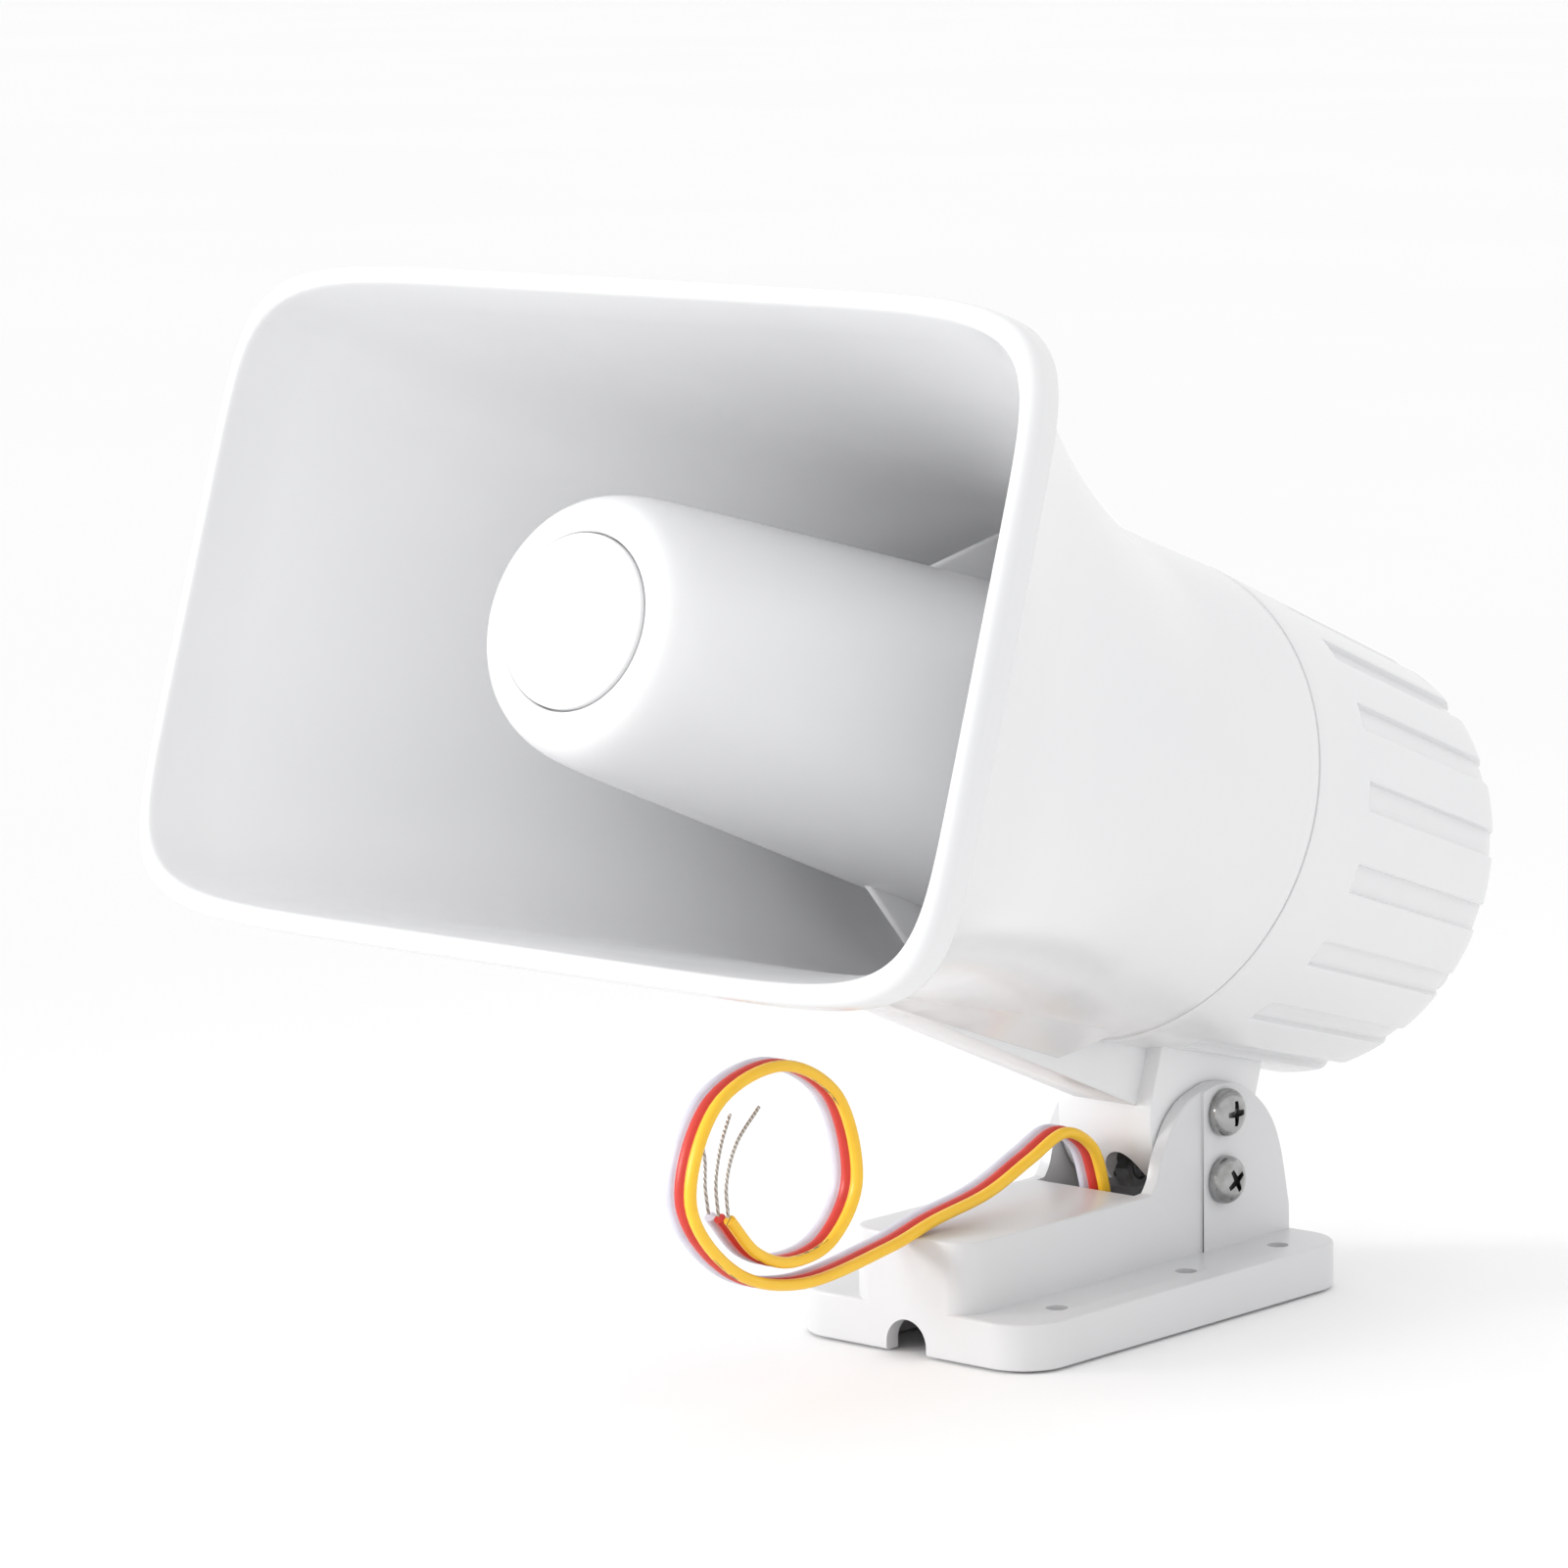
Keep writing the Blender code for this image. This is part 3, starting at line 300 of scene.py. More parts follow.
black = finish_of("black_moulding",
                  matt(rgb(0.04, 0.04, 0.043), rgb(0.025, 0.025, 0.028), 0.42, 1100.0, 0.00006))
aluminium = finish_of("rolled_aluminium", polished(rgb(0.80, 0.81, 0.82), rgb(0.66, 0.67, 0.68), 0.25),
                      Metallic=1.0)
sleeve = finish_of("shrink_sleeve", matt(rgb(0.05, 0.11, 0.36), rgb(0.03, 0.07, 0.25), 0.3, 200.0, 0.00003))


def cores(b):
    """Three bonded cores by their place across the width, with a broken line of marks on the near one."""
    across = b.node("ShaderNodeSeparateXYZ", None, {0: b.node("ShaderNodeTexCoord", out="UV")})
    along = Wire(b, across.socket.node.outputs[1])
    cloud = b.grain(220.0, 3.0)
    lilac = b.colours(cloud, rgb(0.60, 0.58, 0.68), rgb(0.78, 0.77, 0.84))
    red = b.colours(cloud, rgb(0.56, 0.03, 0.02), rgb(0.74, 0.06, 0.04))
    yellow = b.colours(cloud, rgb(0.93, 0.52, 0.02), rgb(0.98, 0.62, 0.04))
    colour = b.colours(b.between(across, 0.325, 0.341), lilac, red)
    colour = b.colours(b.between(across, 0.659, 0.675), colour, yellow)
    spot = b.node("ShaderNodeCombineXYZ", None, {0: across * 26.0, 1: along * 2.6})
    specks = b.between(b.grain(1.0, 1.0, 0.4, spot), 0.5, 0.53)
    middle = b.between(b.math("ABSOLUTE", across - 0.835), 0.045, 0.055, 1.0, 0.0)
    stretch = b.node("ShaderNodeCombineXYZ", None, {1: along * 0.42, 2: 4.0})
    words = b.between(b.grain(0.9, 0.0, 0.4, stretch), 0.46, 0.50)
    side = b.between(along, 16.0, 18.0)
    marks = b.math("MINIMUM", b.math("MINIMUM", specks, middle), b.math("MINIMUM", words, side))
    colour = b.colours(marks * 0.85, colour, rgb(0.03, 0.03, 0.03))
    return {"Base Color": colour, "Roughness": 0.3 + 0.14 * b.grain(500.0, 2.0),
            "Normal": surface(b, b.grain(900.0, 2.0), 0.15, 0.00005)}


def strands(b):
    """Tinned strands twisted together."""
    lay = b.node("ShaderNodeTexWave", {"wave_type": "BANDS", "bands_direction": "DIAGONAL"},
                 {"Vector": b.place(), "Scale": 520.0}, out="Fac")
    return {"Base Color": b.colours(lay, rgb(0.30, 0.28, 0.25), rgb(0.68, 0.66, 0.62)),
            "Roughness": 0.28 + 0.15 * lay, "Normal": surface(b, lay, 0.7, 0.0001)}


ribbon_sheath = finish_of("three_core_sheath", cores)
tinned = finish_of("tinned_strands", strands, Metallic=1.0)


# ---------------------------------------------------------------- meshes
MERGE = 1e-4


def clean_mesh(name, bm):
    """A plain mesh from a bmesh, which goes."""
    bmesh.ops.remove_doubles(bm, verts=bm.verts, dist=MERGE)
    bmesh.ops.recalc_face_normals(bm, faces=bm.faces)
    mesh = bpy.data.meshes.new(name)
    bm.to_mesh(mesh)
    bm.free()
    return mesh


def linked(name, data):
    made = bpy.data.objects.new(name, data)
    workshop.objects.link(made)
    return made


def piece(name, bm, place, look, body, replaced=(), sharp=32.0):
    """A finished piece from a bmesh in millimetres."""
    mesh = clean_mesh(name, bm)
    mesh.transform(place)
    return dress(name, mesh, look, body, replaced, sharp)


def horn_piece(name, mesh, look, replaced=(), sharp=32.0):
    """A finished piece from a mesh in millimetres, stationed along the horn's axis."""
    mesh.transform(HORN_PLACE)
    return dress(name, mesh, look, "horn", replaced, sharp)


def dress(name, mesh, look, body, replaced=(), sharp=32.0):
    mesh.name = name
    mesh.materials.clear()
    mesh.materials.append(look)
    mesh.polygons.foreach_set("use_smooth", [True] * len(mesh.polygons))
    mesh.polygons.foreach_set("material_index", [0] * len(mesh.polygons))
    mesh.set_sharp_from_angle(angle=math.radians(sharp))
    made = linked(name, mesh)
    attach(made, body)
    if replaced:
        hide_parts(*replaced)
    return made


def blank(name, bm):
    """A helper object in millimetres, for Booleans and node trees."""
    return linked(name, clean_mesh(name, bm))


def settle(obj, cutters=()):
    """The evaluated shape of a helper as a plain mesh. The helper and its cutters go."""
    graph = bpy.context.evaluated_depsgraph_get()
    graph.update()
    mesh = bpy.data.meshes.new_from_object(obj.evaluated_get(graph))
    obj.modifiers.clear()
    for helper in (obj, *cutters):
        bpy.data.objects.remove(helper, do_unlink=True)
    return mesh


def join_or_cut(obj, other, operation, crossing=False):
    step = obj.modifiers.new(operation, "BOOLEAN")
    step.operation = operation
    step.solver = "EXACT"
    step.object = other
    step.use_self = crossing
    return other


def soften(obj, width, segments=2, angle=35.0):
    step = obj.modifiers.new("soft_edges", "BEVEL")
    step.width = width
    step.segments = segments
    step.limit_method = "ANGLE"
    step.angle_limit = math.radians(angle)
    step.use_clamp_overlap = True


def prism(bm, outline, low, high, axis="X"):
    """Extrudes a flat outline: (y, z) along X, (x, y) along Z, or (x, z) along Y."""
    spots = {"X": lambda a, b: (low, a, b), "Z": lambda a, b: (a, b, low), "Y": lambda a, b: (a, low, b)}
    step = {"X": (high - low, 0, 0), "Z": (0, 0, high - low), "Y": (0, high - low, 0)}[axis]
    face = bm.faces.new([bm.verts.new(spots[axis](a, b)) for a, b in outline])
    moved = bmesh.ops.extrude_face_region(bm, geom=[face], use_keep_orig=True)["geom"]
    bmesh.ops.translate(bm, vec=step, verts=[v for v in moved if isinstance(v, bmesh.types.BMVert)])


def prism_blank(name, outline, low, high, axis="X"):
    bm = bmesh.new()
    prism(bm, outline, low, high, axis)
    return blank(name, bm)


def block(bm, x0, x1, y0, y1, z0, z1):
    prism(bm, [(x0, y0), (x1, y0), (x1, y1), (x0, y1)], z0, z1, "Z")


def rod(bm, start, end, radius, sides=32):
    start, end = Vector(start), Vector(end)
    turn = Vector((0, 0, 1)).rotation_difference(end - start).to_matrix().to_4x4()
    bmesh.ops.create_cone(bm, cap_ends=True, segments=sides, radius1=radius, radius2=radius,
                          depth=(end - start).length, matrix=Matrix.Translation((start + end) / 2) @ turn)


def rounded(x0, x1, y0, y1, radius, steps=12):
    points = []
    for x, y, turn in ((x1, y1, 0), (x0, y1, 90), (x0, y0, 180), (x1, y0, 270)):
        cx = x - math.copysign(radius, x - (x0 + x1) / 2)
        cy = y - math.copysign(radius, y - (y0 + y1) / 2)
        for k in range(steps + 1):
            a = math.radians(turn + 90 * k / steps)
            points.append((cx + radius * math.cos(a), cy + radius * math.sin(a)))
    return points


def eased(points, steps):
    """A Catmull-Rom curve through the points."""
    points = [Vector(p) for p in points]
    ends = [2 * points[0] - points[1]] + points + [2 * points[-1] - points[-2]]
    made = []
    for p0, p1, p2, p3 in zip(ends, ends[1:], ends[2:], ends[3:]):
        for k in range(steps):
            t = k / steps
            made.append(0.5 * (2 * p1 + (p2 - p0) * t + (2 * p0 - 5 * p1 + 4 * p2 - p3) * t * t
                               + (3 * p1 - p0 - 3 * p2 + p3) * t ** 3))
    made.append(points[-1])
    return made


def tube(bm, path, section, uv_name=None):
    """A closed tube along a path near the YZ plane. The section is (x, normal) offsets."""
    sideways = Vector((1, 0, 0))
    rings = []
    for k, spot in enumerate(path):
        ahead = path[min(k + 1, len(path) - 1)] - path[max(k - 1, 0)]
        normal = sideways.cross(ahead).normalized()
        rings.append([bm.verts.new(spot + sideways * a + normal * b) for a, b in section])
    runs = [0.0]
    for first, second in zip(path, path[1:]):
        runs.append(runs[-1] + (second - first).length)
    layer = bm.loops.layers.uv.new(uv_name) if uv_name else None
    low = min(a for a, b in section)
    wide = max(a for a, b in section) - low
    count = len(section)
    for row in range(len(rings) - 1):
        for k in range(count):
            nxt = (k + 1) % count
            face = bm.faces.new((rings[row][k], rings[row][nxt], rings[row + 1][nxt], rings[row + 1][k]))
            if layer:
                for loop, (r, c) in zip(face.loops, ((row, k), (row, nxt), (row + 1, nxt), (row + 1, k))):
                    loop[layer].uv = ((section[c][0] - low) / wide, runs[r] / wide)
    for ring, r in ((rings[0][::-1], 0), (rings[-1], -1)):
        face = bm.faces.new(ring)
        if layer:
            order = list(range(count))[::-1] if r == 0 else list(range(count))
            for loop, c in zip(face.loops, order):
                loop[layer].uv = ((section[c][0] - low) / wide, runs[r] / wide)


# ---------------------------------------------------------------- the flat cable
CABLE_X = 0.6
STRAND = 0.33
DROP = BOX_HEIGHT
CABLE_KNOTS = [(6.6, DROP - 9.5), (6.5, DROP - 4.5), (5.6, DROP + 1.5), (2.0, DROP + 9.0),
               (-6.4, DROP + 13.0), (-17.0, DROP + 9.5), (-30.0, DROP + 5.0), (-46.0, DROP + 2.4),
               (-60.0, DROP - 0.6), (-84.0, DROP - 3.0), (-103.0, DROP + 2.5), (-115.0, DROP + 17.0),
               (-108.0, DROP + 34.0), (-90.0, DROP + 39.0), (-74.0, DROP + 31.0), (-68.5, DROP + 14.5),
               (-75.5, DROP + 4.0), (-87.0, DROP + 1.6), (-97.0, DROP + 5.0), (-104.5, DROP + 12.5)]
cable_path = eased([(CABLE_X, y, z) for y, z in CABLE_KNOTS], 9)


def ribbon_section():
    """Three round cores with thin webs, as (x, normal) offsets."""
    radius = 0.455 * CORE
    start = math.radians(24.0)
    upper = []
    for k in (-1, 0, 1):
        for step in range(9):
            a = math.pi - start - (math.pi - 2 * start) * step / 8
            upper.append((k * CORE + radius * math.cos(a) * 1.08, radius * math.sin(a)))
    outer = 1.5 * CORE
    return [(-outer, 0.0)] + upper + [(outer, 0.0)] + [(x, -n) for x, n in upper[::-1]]


bm = bmesh.new()
tube(bm, cable_path, ribbon_section(), "sheath")
ribbon = piece("ribbon_cable", bm, BASE_PLACE, ribbon_sheath, "base", ["flat_cable"], 60.0)
last = cable_path[-1]
for k, (spread, reach, lean) in enumerate(((-CORE, 15.0, -1.5), (0.0, 18.5, 3.5), (CORE, 19.5, 8.0))):
    start = Vector((CABLE_X + spread, last.y - 0.35, last.z + 0.5))
    points = [start, start + Vector((0.1 * spread, -0.6, reach * 0.35)),
              start + Vector((0.2 * spread, 0.25 * lean, reach * 0.7)),
              start + Vector((0.3 * spread, lean, reach))]
    bm = bmesh.new()
    turns = [math.pi * n / 5 for n in range(10)]
    section = [(STRAND * math.cos(a), STRAND * math.sin(a)) for a in turns]
    tube(bm, eased(points, 9), section)
    piece(f"tinned_end_{k + 1}", bm, BASE_PLACE, tinned, "base",
                      [f"bare_end_{k + 1}"], 60.0)
[tuple(p * MM) for p in cable_path]


# ---------------------------------------------------------------- shells swept by a rule
def ring_tree():
    """Sweeps the rows of a profile round the horn's axis. Each row has a station, half sizes and a power,
    and each column a turn and a dip, so that grooves follow the rows that ask for them."""
    tree = bpy.data.node_groups.new("swept_shell", "GeometryNodeTree")
    b = Bench(tree)
    for name, kind in (("Profile", "NodeSocketGeometry"), ("Rows", "NodeSocketInt"),
                       ("Columns", "NodeSocketInt"), ("Weld", "NodeSocketFloat"),
                       ("Finish", "NodeSocketMaterial")):
        tree.interface.new_socket(name=name, in_out="INPUT", socket_type=kind)
    tree.interface.new_socket(name="Shell", in_out="OUTPUT", socket_type="NodeSocketGeometry")
    source = tree.nodes.new("NodeGroupInput")
    given = {s.name: Wire(b, s) for s in source.outputs if s.name}
    grid = b.node("GeometryNodeMeshGrid", None, {"Vertices X": given["Rows"], "Vertices Y": given["Columns"]})
    index = b.node("GeometryNodeInputIndex")
    row = b.math("FLOOR", (index + 0.5) / given["Columns"])
    column = index - row * given["Columns"]

    def fetch(name, spot):
        value = b.node("GeometryNodeInputNamedAttribute", {"data_type": "FLOAT"}, {"Name": name})
        return b.node("GeometryNodeSampleIndex", {"data_type": "FLOAT", "domain": "POINT"},
                      {"Geometry": given["Profile"], "Value": value, "Index": spot})

    spot = given["Rows"] + column
    turn = fetch("turn", spot)
    across = b.math("COSINE", turn)
    upward = b.math("SINE", turn)
    power = fetch("power", row)
    x_share = b.math("ABSOLUTE", across / fetch("half_width", row)) ** power
    z_share = b.math("ABSOLUTE", upward / fetch("half_height", row)) ** power
    reach = (x_share + z_share) ** (-1.0 / power) - fetch("groove", row) * fetch("dip", spot)
    station = fetch("station", row)
    place = b.node("ShaderNodeCombineXYZ", None, {0: reach * across, 1: station, 2: reach * upward})
    moved = b.node("GeometryNodeSetPosition", None, {"Geometry": grid, "Position": place})
    welded = b.node("GeometryNodeMergeByDistance", None, {"Geometry": moved, "Distance": given["Weld"]})
    real = b.node("GeometryNodeRealizeInstances", None, {"Geometry": welded})
    dressed = b.node("GeometryNodeSetMaterial", None, {"Geometry": real, "Material": given["Finish"]})
    sink = tree.nodes.new("NodeGroupOutput")
    tree.links.new(dressed.socket, sink.inputs[0])
    return tree


SWEPT = ring_tree()
ROW_FACTS = ("station", "half_width", "half_height", "power", "groove")
TINY = 1e-5


def run_tree(obj, tree, values):
    """Puts a node tree on a helper, with its named inputs, and returns the plain mesh."""
    step = obj.modifiers.new("shape", "NODES")
    step.node_group = tree
    for item in tree.interface.items_tree:
        if item.in_out == "INPUT" and item.name in values:
            step[item.identifier] = values[item.name]
    return settle(obj)


def sweep(name, rows, columns, look, weld=2e-4):
    """rows: (station, half width, half height, power, groove depth). columns: (turn, dip)."""
    mesh = bpy.data.meshes.new(name)
    mesh.from_pydata([(0.0, 0.0, 0.0)] * (len(rows) + len(columns)), [], [])
    for k, fact in enumerate(ROW_FACTS):
        values = [max(r[k], TINY) if 0 < k < 3 else r[k] for r in rows] + [0.0] * len(columns)
        mesh.attributes.new(fact, "FLOAT", "POINT").data.foreach_set("value", values)
    for k, fact in enumerate(("turn", "dip")):
        values = [0.0] * len(rows) + [c[k] for c in columns]
        mesh.attributes.new(fact, "FLOAT", "POINT").data.foreach_set("value", values)
    helper = linked(name, mesh)
    made = run_tree(helper, SWEPT, {"Rows": len(rows), "Columns": len(columns), "Weld": weld, "Finish": look})
    bm = bmesh.new()
    bm.from_mesh(made)
    bmesh.ops.remove_doubles(bm, verts=bm.verts, dist=weld)
    bmesh.ops.dissolve_degenerate(bm, edges=bm.edges, dist=weld)
    bmesh.ops.recalc_face_normals(bm, faces=bm.faces)
    bm.to_mesh(made)
    bm.free()
    return made


def even_turns(count):
    return [(2 * math.pi * k / count, 0.0) for k in range(count + 1)]


def corner_turns(count, half_width, half_height):
    """Turns that crowd at the corners of a rounded rectangle."""
    corner = math.atan2(half_height, half_width)
    quarter = [corner * (1 - (1 - k / count) ** 1.5) for k in range(count)]
    quarter += [corner + (math.pi / 2 - corner) * (k / count) ** 1.5 for k in range(count)]
    turns = quarter + [math.pi / 2] + [math.pi - a for a in quarter[:0:-1]]
    turns += [math.pi + a for a in quarter] + [1.5 * math.pi] + [2 * math.pi - a for a in quarter[:0:-1]]
    return [(a, 0.0) for a in turns] + [(2 * math.pi, 0.0)]


def rounds(profile):
    """Rows of a turned shape from (station, radius) points."""
    return [(s, r, r, 2.0, 0.0) for s, r in profile]


MW, MH = MOUTH_WIDTH / 2, MOUTH_HEIGHT / 2
RIM_DEPTH = 7.0


def flare(t):
    """Half width, half height and corner power of the outer wall, from the rim (0) to the barrel (1)."""
    wide = BARREL + 1.0 + (MW - 4.0 - BARREL) * (1 - t) ** 1.75
    high = BARREL + 1.0 + (MH - 3.5 - BARREL) * (1 - t) ** 1.9
    return wide, high, 2.0 + 6.0 * (1 - t) ** 1.5


def flare_rows(inset, count, reverse=False):
    made = []
    for k in range(count + 1):
        t = k / count
        wide, high, power = flare(t)
        made.append((RIM_DEPTH + t * (FLARE_END - RIM_DEPTH), wide - inset, high - inset, power, 0.0))
    return made[::-1] if reverse else made


def rim_rows():
    """The rolled band round the mouth, from the wall behind it to the inside of the mouth."""
    band = [(7.9, -3.75), (7.35, -3.1), (7.1, -2.2), (7.0, -1.2), (6.85, -0.5), (6.5, -0.12), (6.0, 0.0),
            (4.5, 0.0), (3.0, 0.0), (2.2, -0.05), (1.5, -0.25), (0.9, -0.62), (0.45, -1.1), (0.15, -1.65),
            (0.0, -2.25), (0.02, -2.75), (0.3, -3.2), (0.9, -3.5), (1.8, -3.75)]
    return [(s, MW + r, MH + r, 8.0, 0.0) for s, r in band]


def horn_wall():
    inner = BARREL - WALL
    outer = [(COLLAR_END, BARREL - 2.5), (COLLAR_END - 0.3, BARREL - 2.5), (SEAM + 0.2, BARREL - 2.5),
             (SEAM, BARREL - 2.4), (SEAM, BARREL - 0.6), (SEAM - 0.12, BARREL - 0.18), (SEAM - 0.5, BARREL),
             (SEAM - 3.0, BARREL + 0.05), (SEAM - 12.0, BARREL + 0.32), (SEAM - 20.0, BARREL + 0.6)]
    rows = rounds(outer)
    rows += flare_rows(0.0, 46, reverse=True)[:-1]
    rows += rim_rows()
    rows += flare_rows(WALL, 46)[1:]
    rows += rounds([(BULKHEAD - 14.0, inner + 0.8), (BULKHEAD - 8.0, inner + 0.3),
                    (BULKHEAD - 5.5, inner - 0.2), (BULKHEAD - 4.2, inner - 1.0),
                    (BULKHEAD - 3.6, inner - 2.2), (BULKHEAD - 3.5, inner - 4.0),
                    (BULKHEAD - 3.5, 10.2), (BULKHEAD - 3.3, 9.7), (BULKHEAD - 2.9, 9.6), (BULKHEAD, 9.6),
                    (BULKHEAD, BARREL - 5.2), (BULKHEAD + 0.3, BARREL - 4.9), (COLLAR_END, BARREL - 4.9)])
    rows.append(rows[0])
    mesh = sweep("horn_wall", rows, corner_turns(34, MW, MH), white_plastic)
    return horn_piece("horn_wall", mesh, white_plastic, ["horn_shell"], 42.0)


horn_wall()


def wall_line(station):
    """Height of the outer wall's lower line below the axis."""
    if station >= SEAM:
        return BARREL - CAP_SLOPE * (station - SEAM)
    if station >= FLARE_END:
        return BARREL + 1.0 * (SEAM - station) / (SEAM - FLARE_END)
    return flare((station - RIM_DEPTH) / (FLARE_END - RIM_DEPTH))[1]


def wall_depth(station, x):
    """Depth of the outer wall below the axis at a distance x from the middle."""
    if station >= FLARE_END:
        return math.sqrt(wall_line(station) ** 2 - x * x)
    wide, high, power = flare((station - RIM_DEPTH) / (FLARE_END - RIM_DEPTH))
    return high * (1.0 - (abs(x) / wide) ** power) ** (1.0 / power)


def keel_and_tongue():
    """The rib under the horn, its shoulders, and the hollow tongue with its arc slot."""
    rear = PIVOT_S + TONGUE_RADIUS - 2.4
    front = SEAM - 83.0
    marks = (rear - 3, rear - 12, SEAM + 10, SEAM, SEAM - 20, SEAM - 30, SEAM - 42, SEAM - 55, SEAM - 70,
             front)
    plate = [(front, -(BARREL + 1.5)), (PIVOT_S - TONGUE_RADIUS, PIVOT_U - 2.6),
             (PIVOT_S - TONGUE_RADIUS + 3, PIVOT_U), (rear - 3, PIVOT_U + 3)]
    keel = prism_blank("keel", plate + [(s, -(wall_line(s) - 2.2)) for s in marks], -KEEL_HALF, KEEL_HALF)
    soften(keel, 0.5, 2, 50.0)
    saddle = bmesh.new()
    rings = []
    for station, down in ((SEAM - 76.0, 2.75), (SEAM - 68.0, 3.2), (SEAM - 60.0, 3.7), (SEAM - 45.0, 4.0),
                          (SEAM - 30.0, 4.3), (SEAM - 12.0, 4.6), (SEAM - 4.0, 1.0)):
        low = -(BARREL + down)
        spots = [(-KEEL_HALF - 0.4, low), (KEEL_HALF + 0.4, low)]
        for k in range(13):
            x = SADDLE_HALF * (1 - k / 6)
            spots.append((x, 1.2 - wall_depth(station, x)))
        rings.append([saddle.verts.new((x, station, z)) for x, z in spots])
    for first, second in zip(rings, rings[1:]):
        for k in range(len(first)):
            n = (k + 1) % len(first)
            saddle.faces.new((first[k], first[n], second[n], second[k]))
    saddle.faces.new(rings[0][::-1])
    saddle.faces.new(rings[-1])
    piece("keel_saddle", saddle, HORN_PLACE, white_plastic, "horn", sharp=30.0)
    tongue = []
    for k in range(41):
        a = math.pi + math.radians(150) * k / 40
        tongue.append((PIVOT_S + TONGUE_RADIUS * math.cos(a), PIVOT_U + TONGUE_RADIUS * math.sin(a)))
    tongue.append((rear, PIVOT_U - 8.4))
    tongue += [(s, -(wall_line(s) - 2.0)) for s in (rear, PIVOT_S, PIVOT_S - TONGUE_RADIUS)]
    lug = prism_blank("lug", tongue, -TONGUE_HALF, TONGUE_HALF)
    soften(lug, 0.7, 2, 50.0)
    cable_half = KEEL_HALF - 2.8
    channel = prism_blank("channel", [(SEAM - 12.0, -(BARREL - 7.0)), (SEAM - 5.0, -(BARREL - 7.0)),
                                      (SEAM - 5.0, -(BARREL + 3.0)), (PIVOT_S - 11.0, PIVOT_U + 4.0),
                                      (PIVOT_S - 11.0, PIVOT_U - 3.5), (PIVOT_S - 15.0, PIVOT_U - 1.0),
                                      (SEAM - 12.0, -(BARREL + 2.2))], -cable_half, cable_half)
    half = TONGUE_HALF - TONGUE_WALL
    inside = TONGUE_RADIUS - 2.8
    outline = [(PIVOT_S - 12.5, PIVOT_U + 5.5)]
    for k in range(17):
        a = math.radians(184.0 + 59.0 * k / 16)
        outline.append((PIVOT_S + inside * math.cos(a), PIVOT_U + inside * math.sin(a)))
    outline += [(PIVOT_S - 6.2, PIVOT_U - 22.0), (PIVOT_S + 10.0, PIVOT_U - 22.0),
                (PIVOT_S + 12.6, PIVOT_U - 6.0), (PIVOT_S + 12.6, PIVOT_U + 5.5)]
    room = prism_blank("room", outline, -half, half)
    arch_half = half - 1.1
    arch_top = PIVOT_HEIGHT - 7.1
    doorway = [(-0.4 * arch_half, 8.0), (arch_half, 8.0)]
    for k in range(21):
        a = math.pi * k / 20
        x = arch_half * (0.3 + 0.7 * math.cos(a))
        doorway.append((x, arch_top - arch_half + arch_half * math.sin(a)))
    arch = prism_blank("arch", doorway, 2.0, PIVOT_BACK - 7.6, "Y")
    arch.data.transform(TO_METRES)
    arch.data.transform(HORN_PLACE.inverted())
    start = -math.pi / 2 + math.radians(REST_TILT - TILT_DOWN - 1.5)
    turn = math.radians(TILT_UP + TILT_DOWN + 3.0)
    arc = []
    for radius, order in ((LOCK_DROP + HOLE, range(25)), (LOCK_DROP - HOLE, range(24, -1, -1))):
        for k in order:
            a = start + turn * k / 24
            arc.append((PIVOT_S + radius * math.cos(a), PIVOT_U + radius * math.sin(a)))
    slot = prism_blank("slot", arc, -30.0, 30.0)
    bores = bmesh.new()
    rod(bores, (-30, PIVOT_S, PIVOT_U), (30, PIVOT_S, PIVOT_U), HOLE)
    bores = blank("bores", bores)
    ends = bmesh.new()
    for a in (start, start + turn):
        spot = (PIVOT_S + LOCK_DROP * math.cos(a), PIVOT_U + LOCK_DROP * math.sin(a))
        rod(ends, (-30, *spot), (30, *spot), HOLE)
    ends = blank("slot_ends", ends)
    helpers = [join_or_cut(keel, lug, "UNION")]
    helpers += [join_or_cut(keel, cutter, "DIFFERENCE")
                for cutter in (channel, room, arch, slot, ends, bores)]
    return horn_piece("keel_and_tongue", settle(keel, helpers), white_plastic, (), 30.0)


keel_and_tongue()


def groove_turns(per_land):
    """Turns with crisp groove edges. Dip is 1 in a groove and 0 on a land."""
    pitch = 2 * math.pi / GROOVES
    half = math.radians(GROOVE_HALF)
    edge = [(-half - 0.012, 0.0), (-half - 0.005, 0.03), (-half, 0.14), (-half + 0.004, 0.9),
            (-half + 0.010, 1.0)]
    made = []
    for g in range(GROOVES):
        middle = pitch * (g + 0.5)
        first = middle - pitch / 2
        for k in range(per_land):
            made.append((first + (pitch / 2 - half - 0.012) * k / per_land, 0.0))
        made += [(middle + a, d) for a, d in edge]
        made += [(middle - half * 0.4, 1.0), (middle, 1.0), (middle + half * 0.4, 1.0)]
        made += [(middle - a, d) for a, d in edge[::-1]]
        for k in range(1, per_land):
            made.append((middle + half + 0.012 + (pitch / 2 - half - 0.012) * k / per_land, 0.0))
    made.append((2 * math.pi, 0.0))
    return made


WELL_RADIUS = 3.35


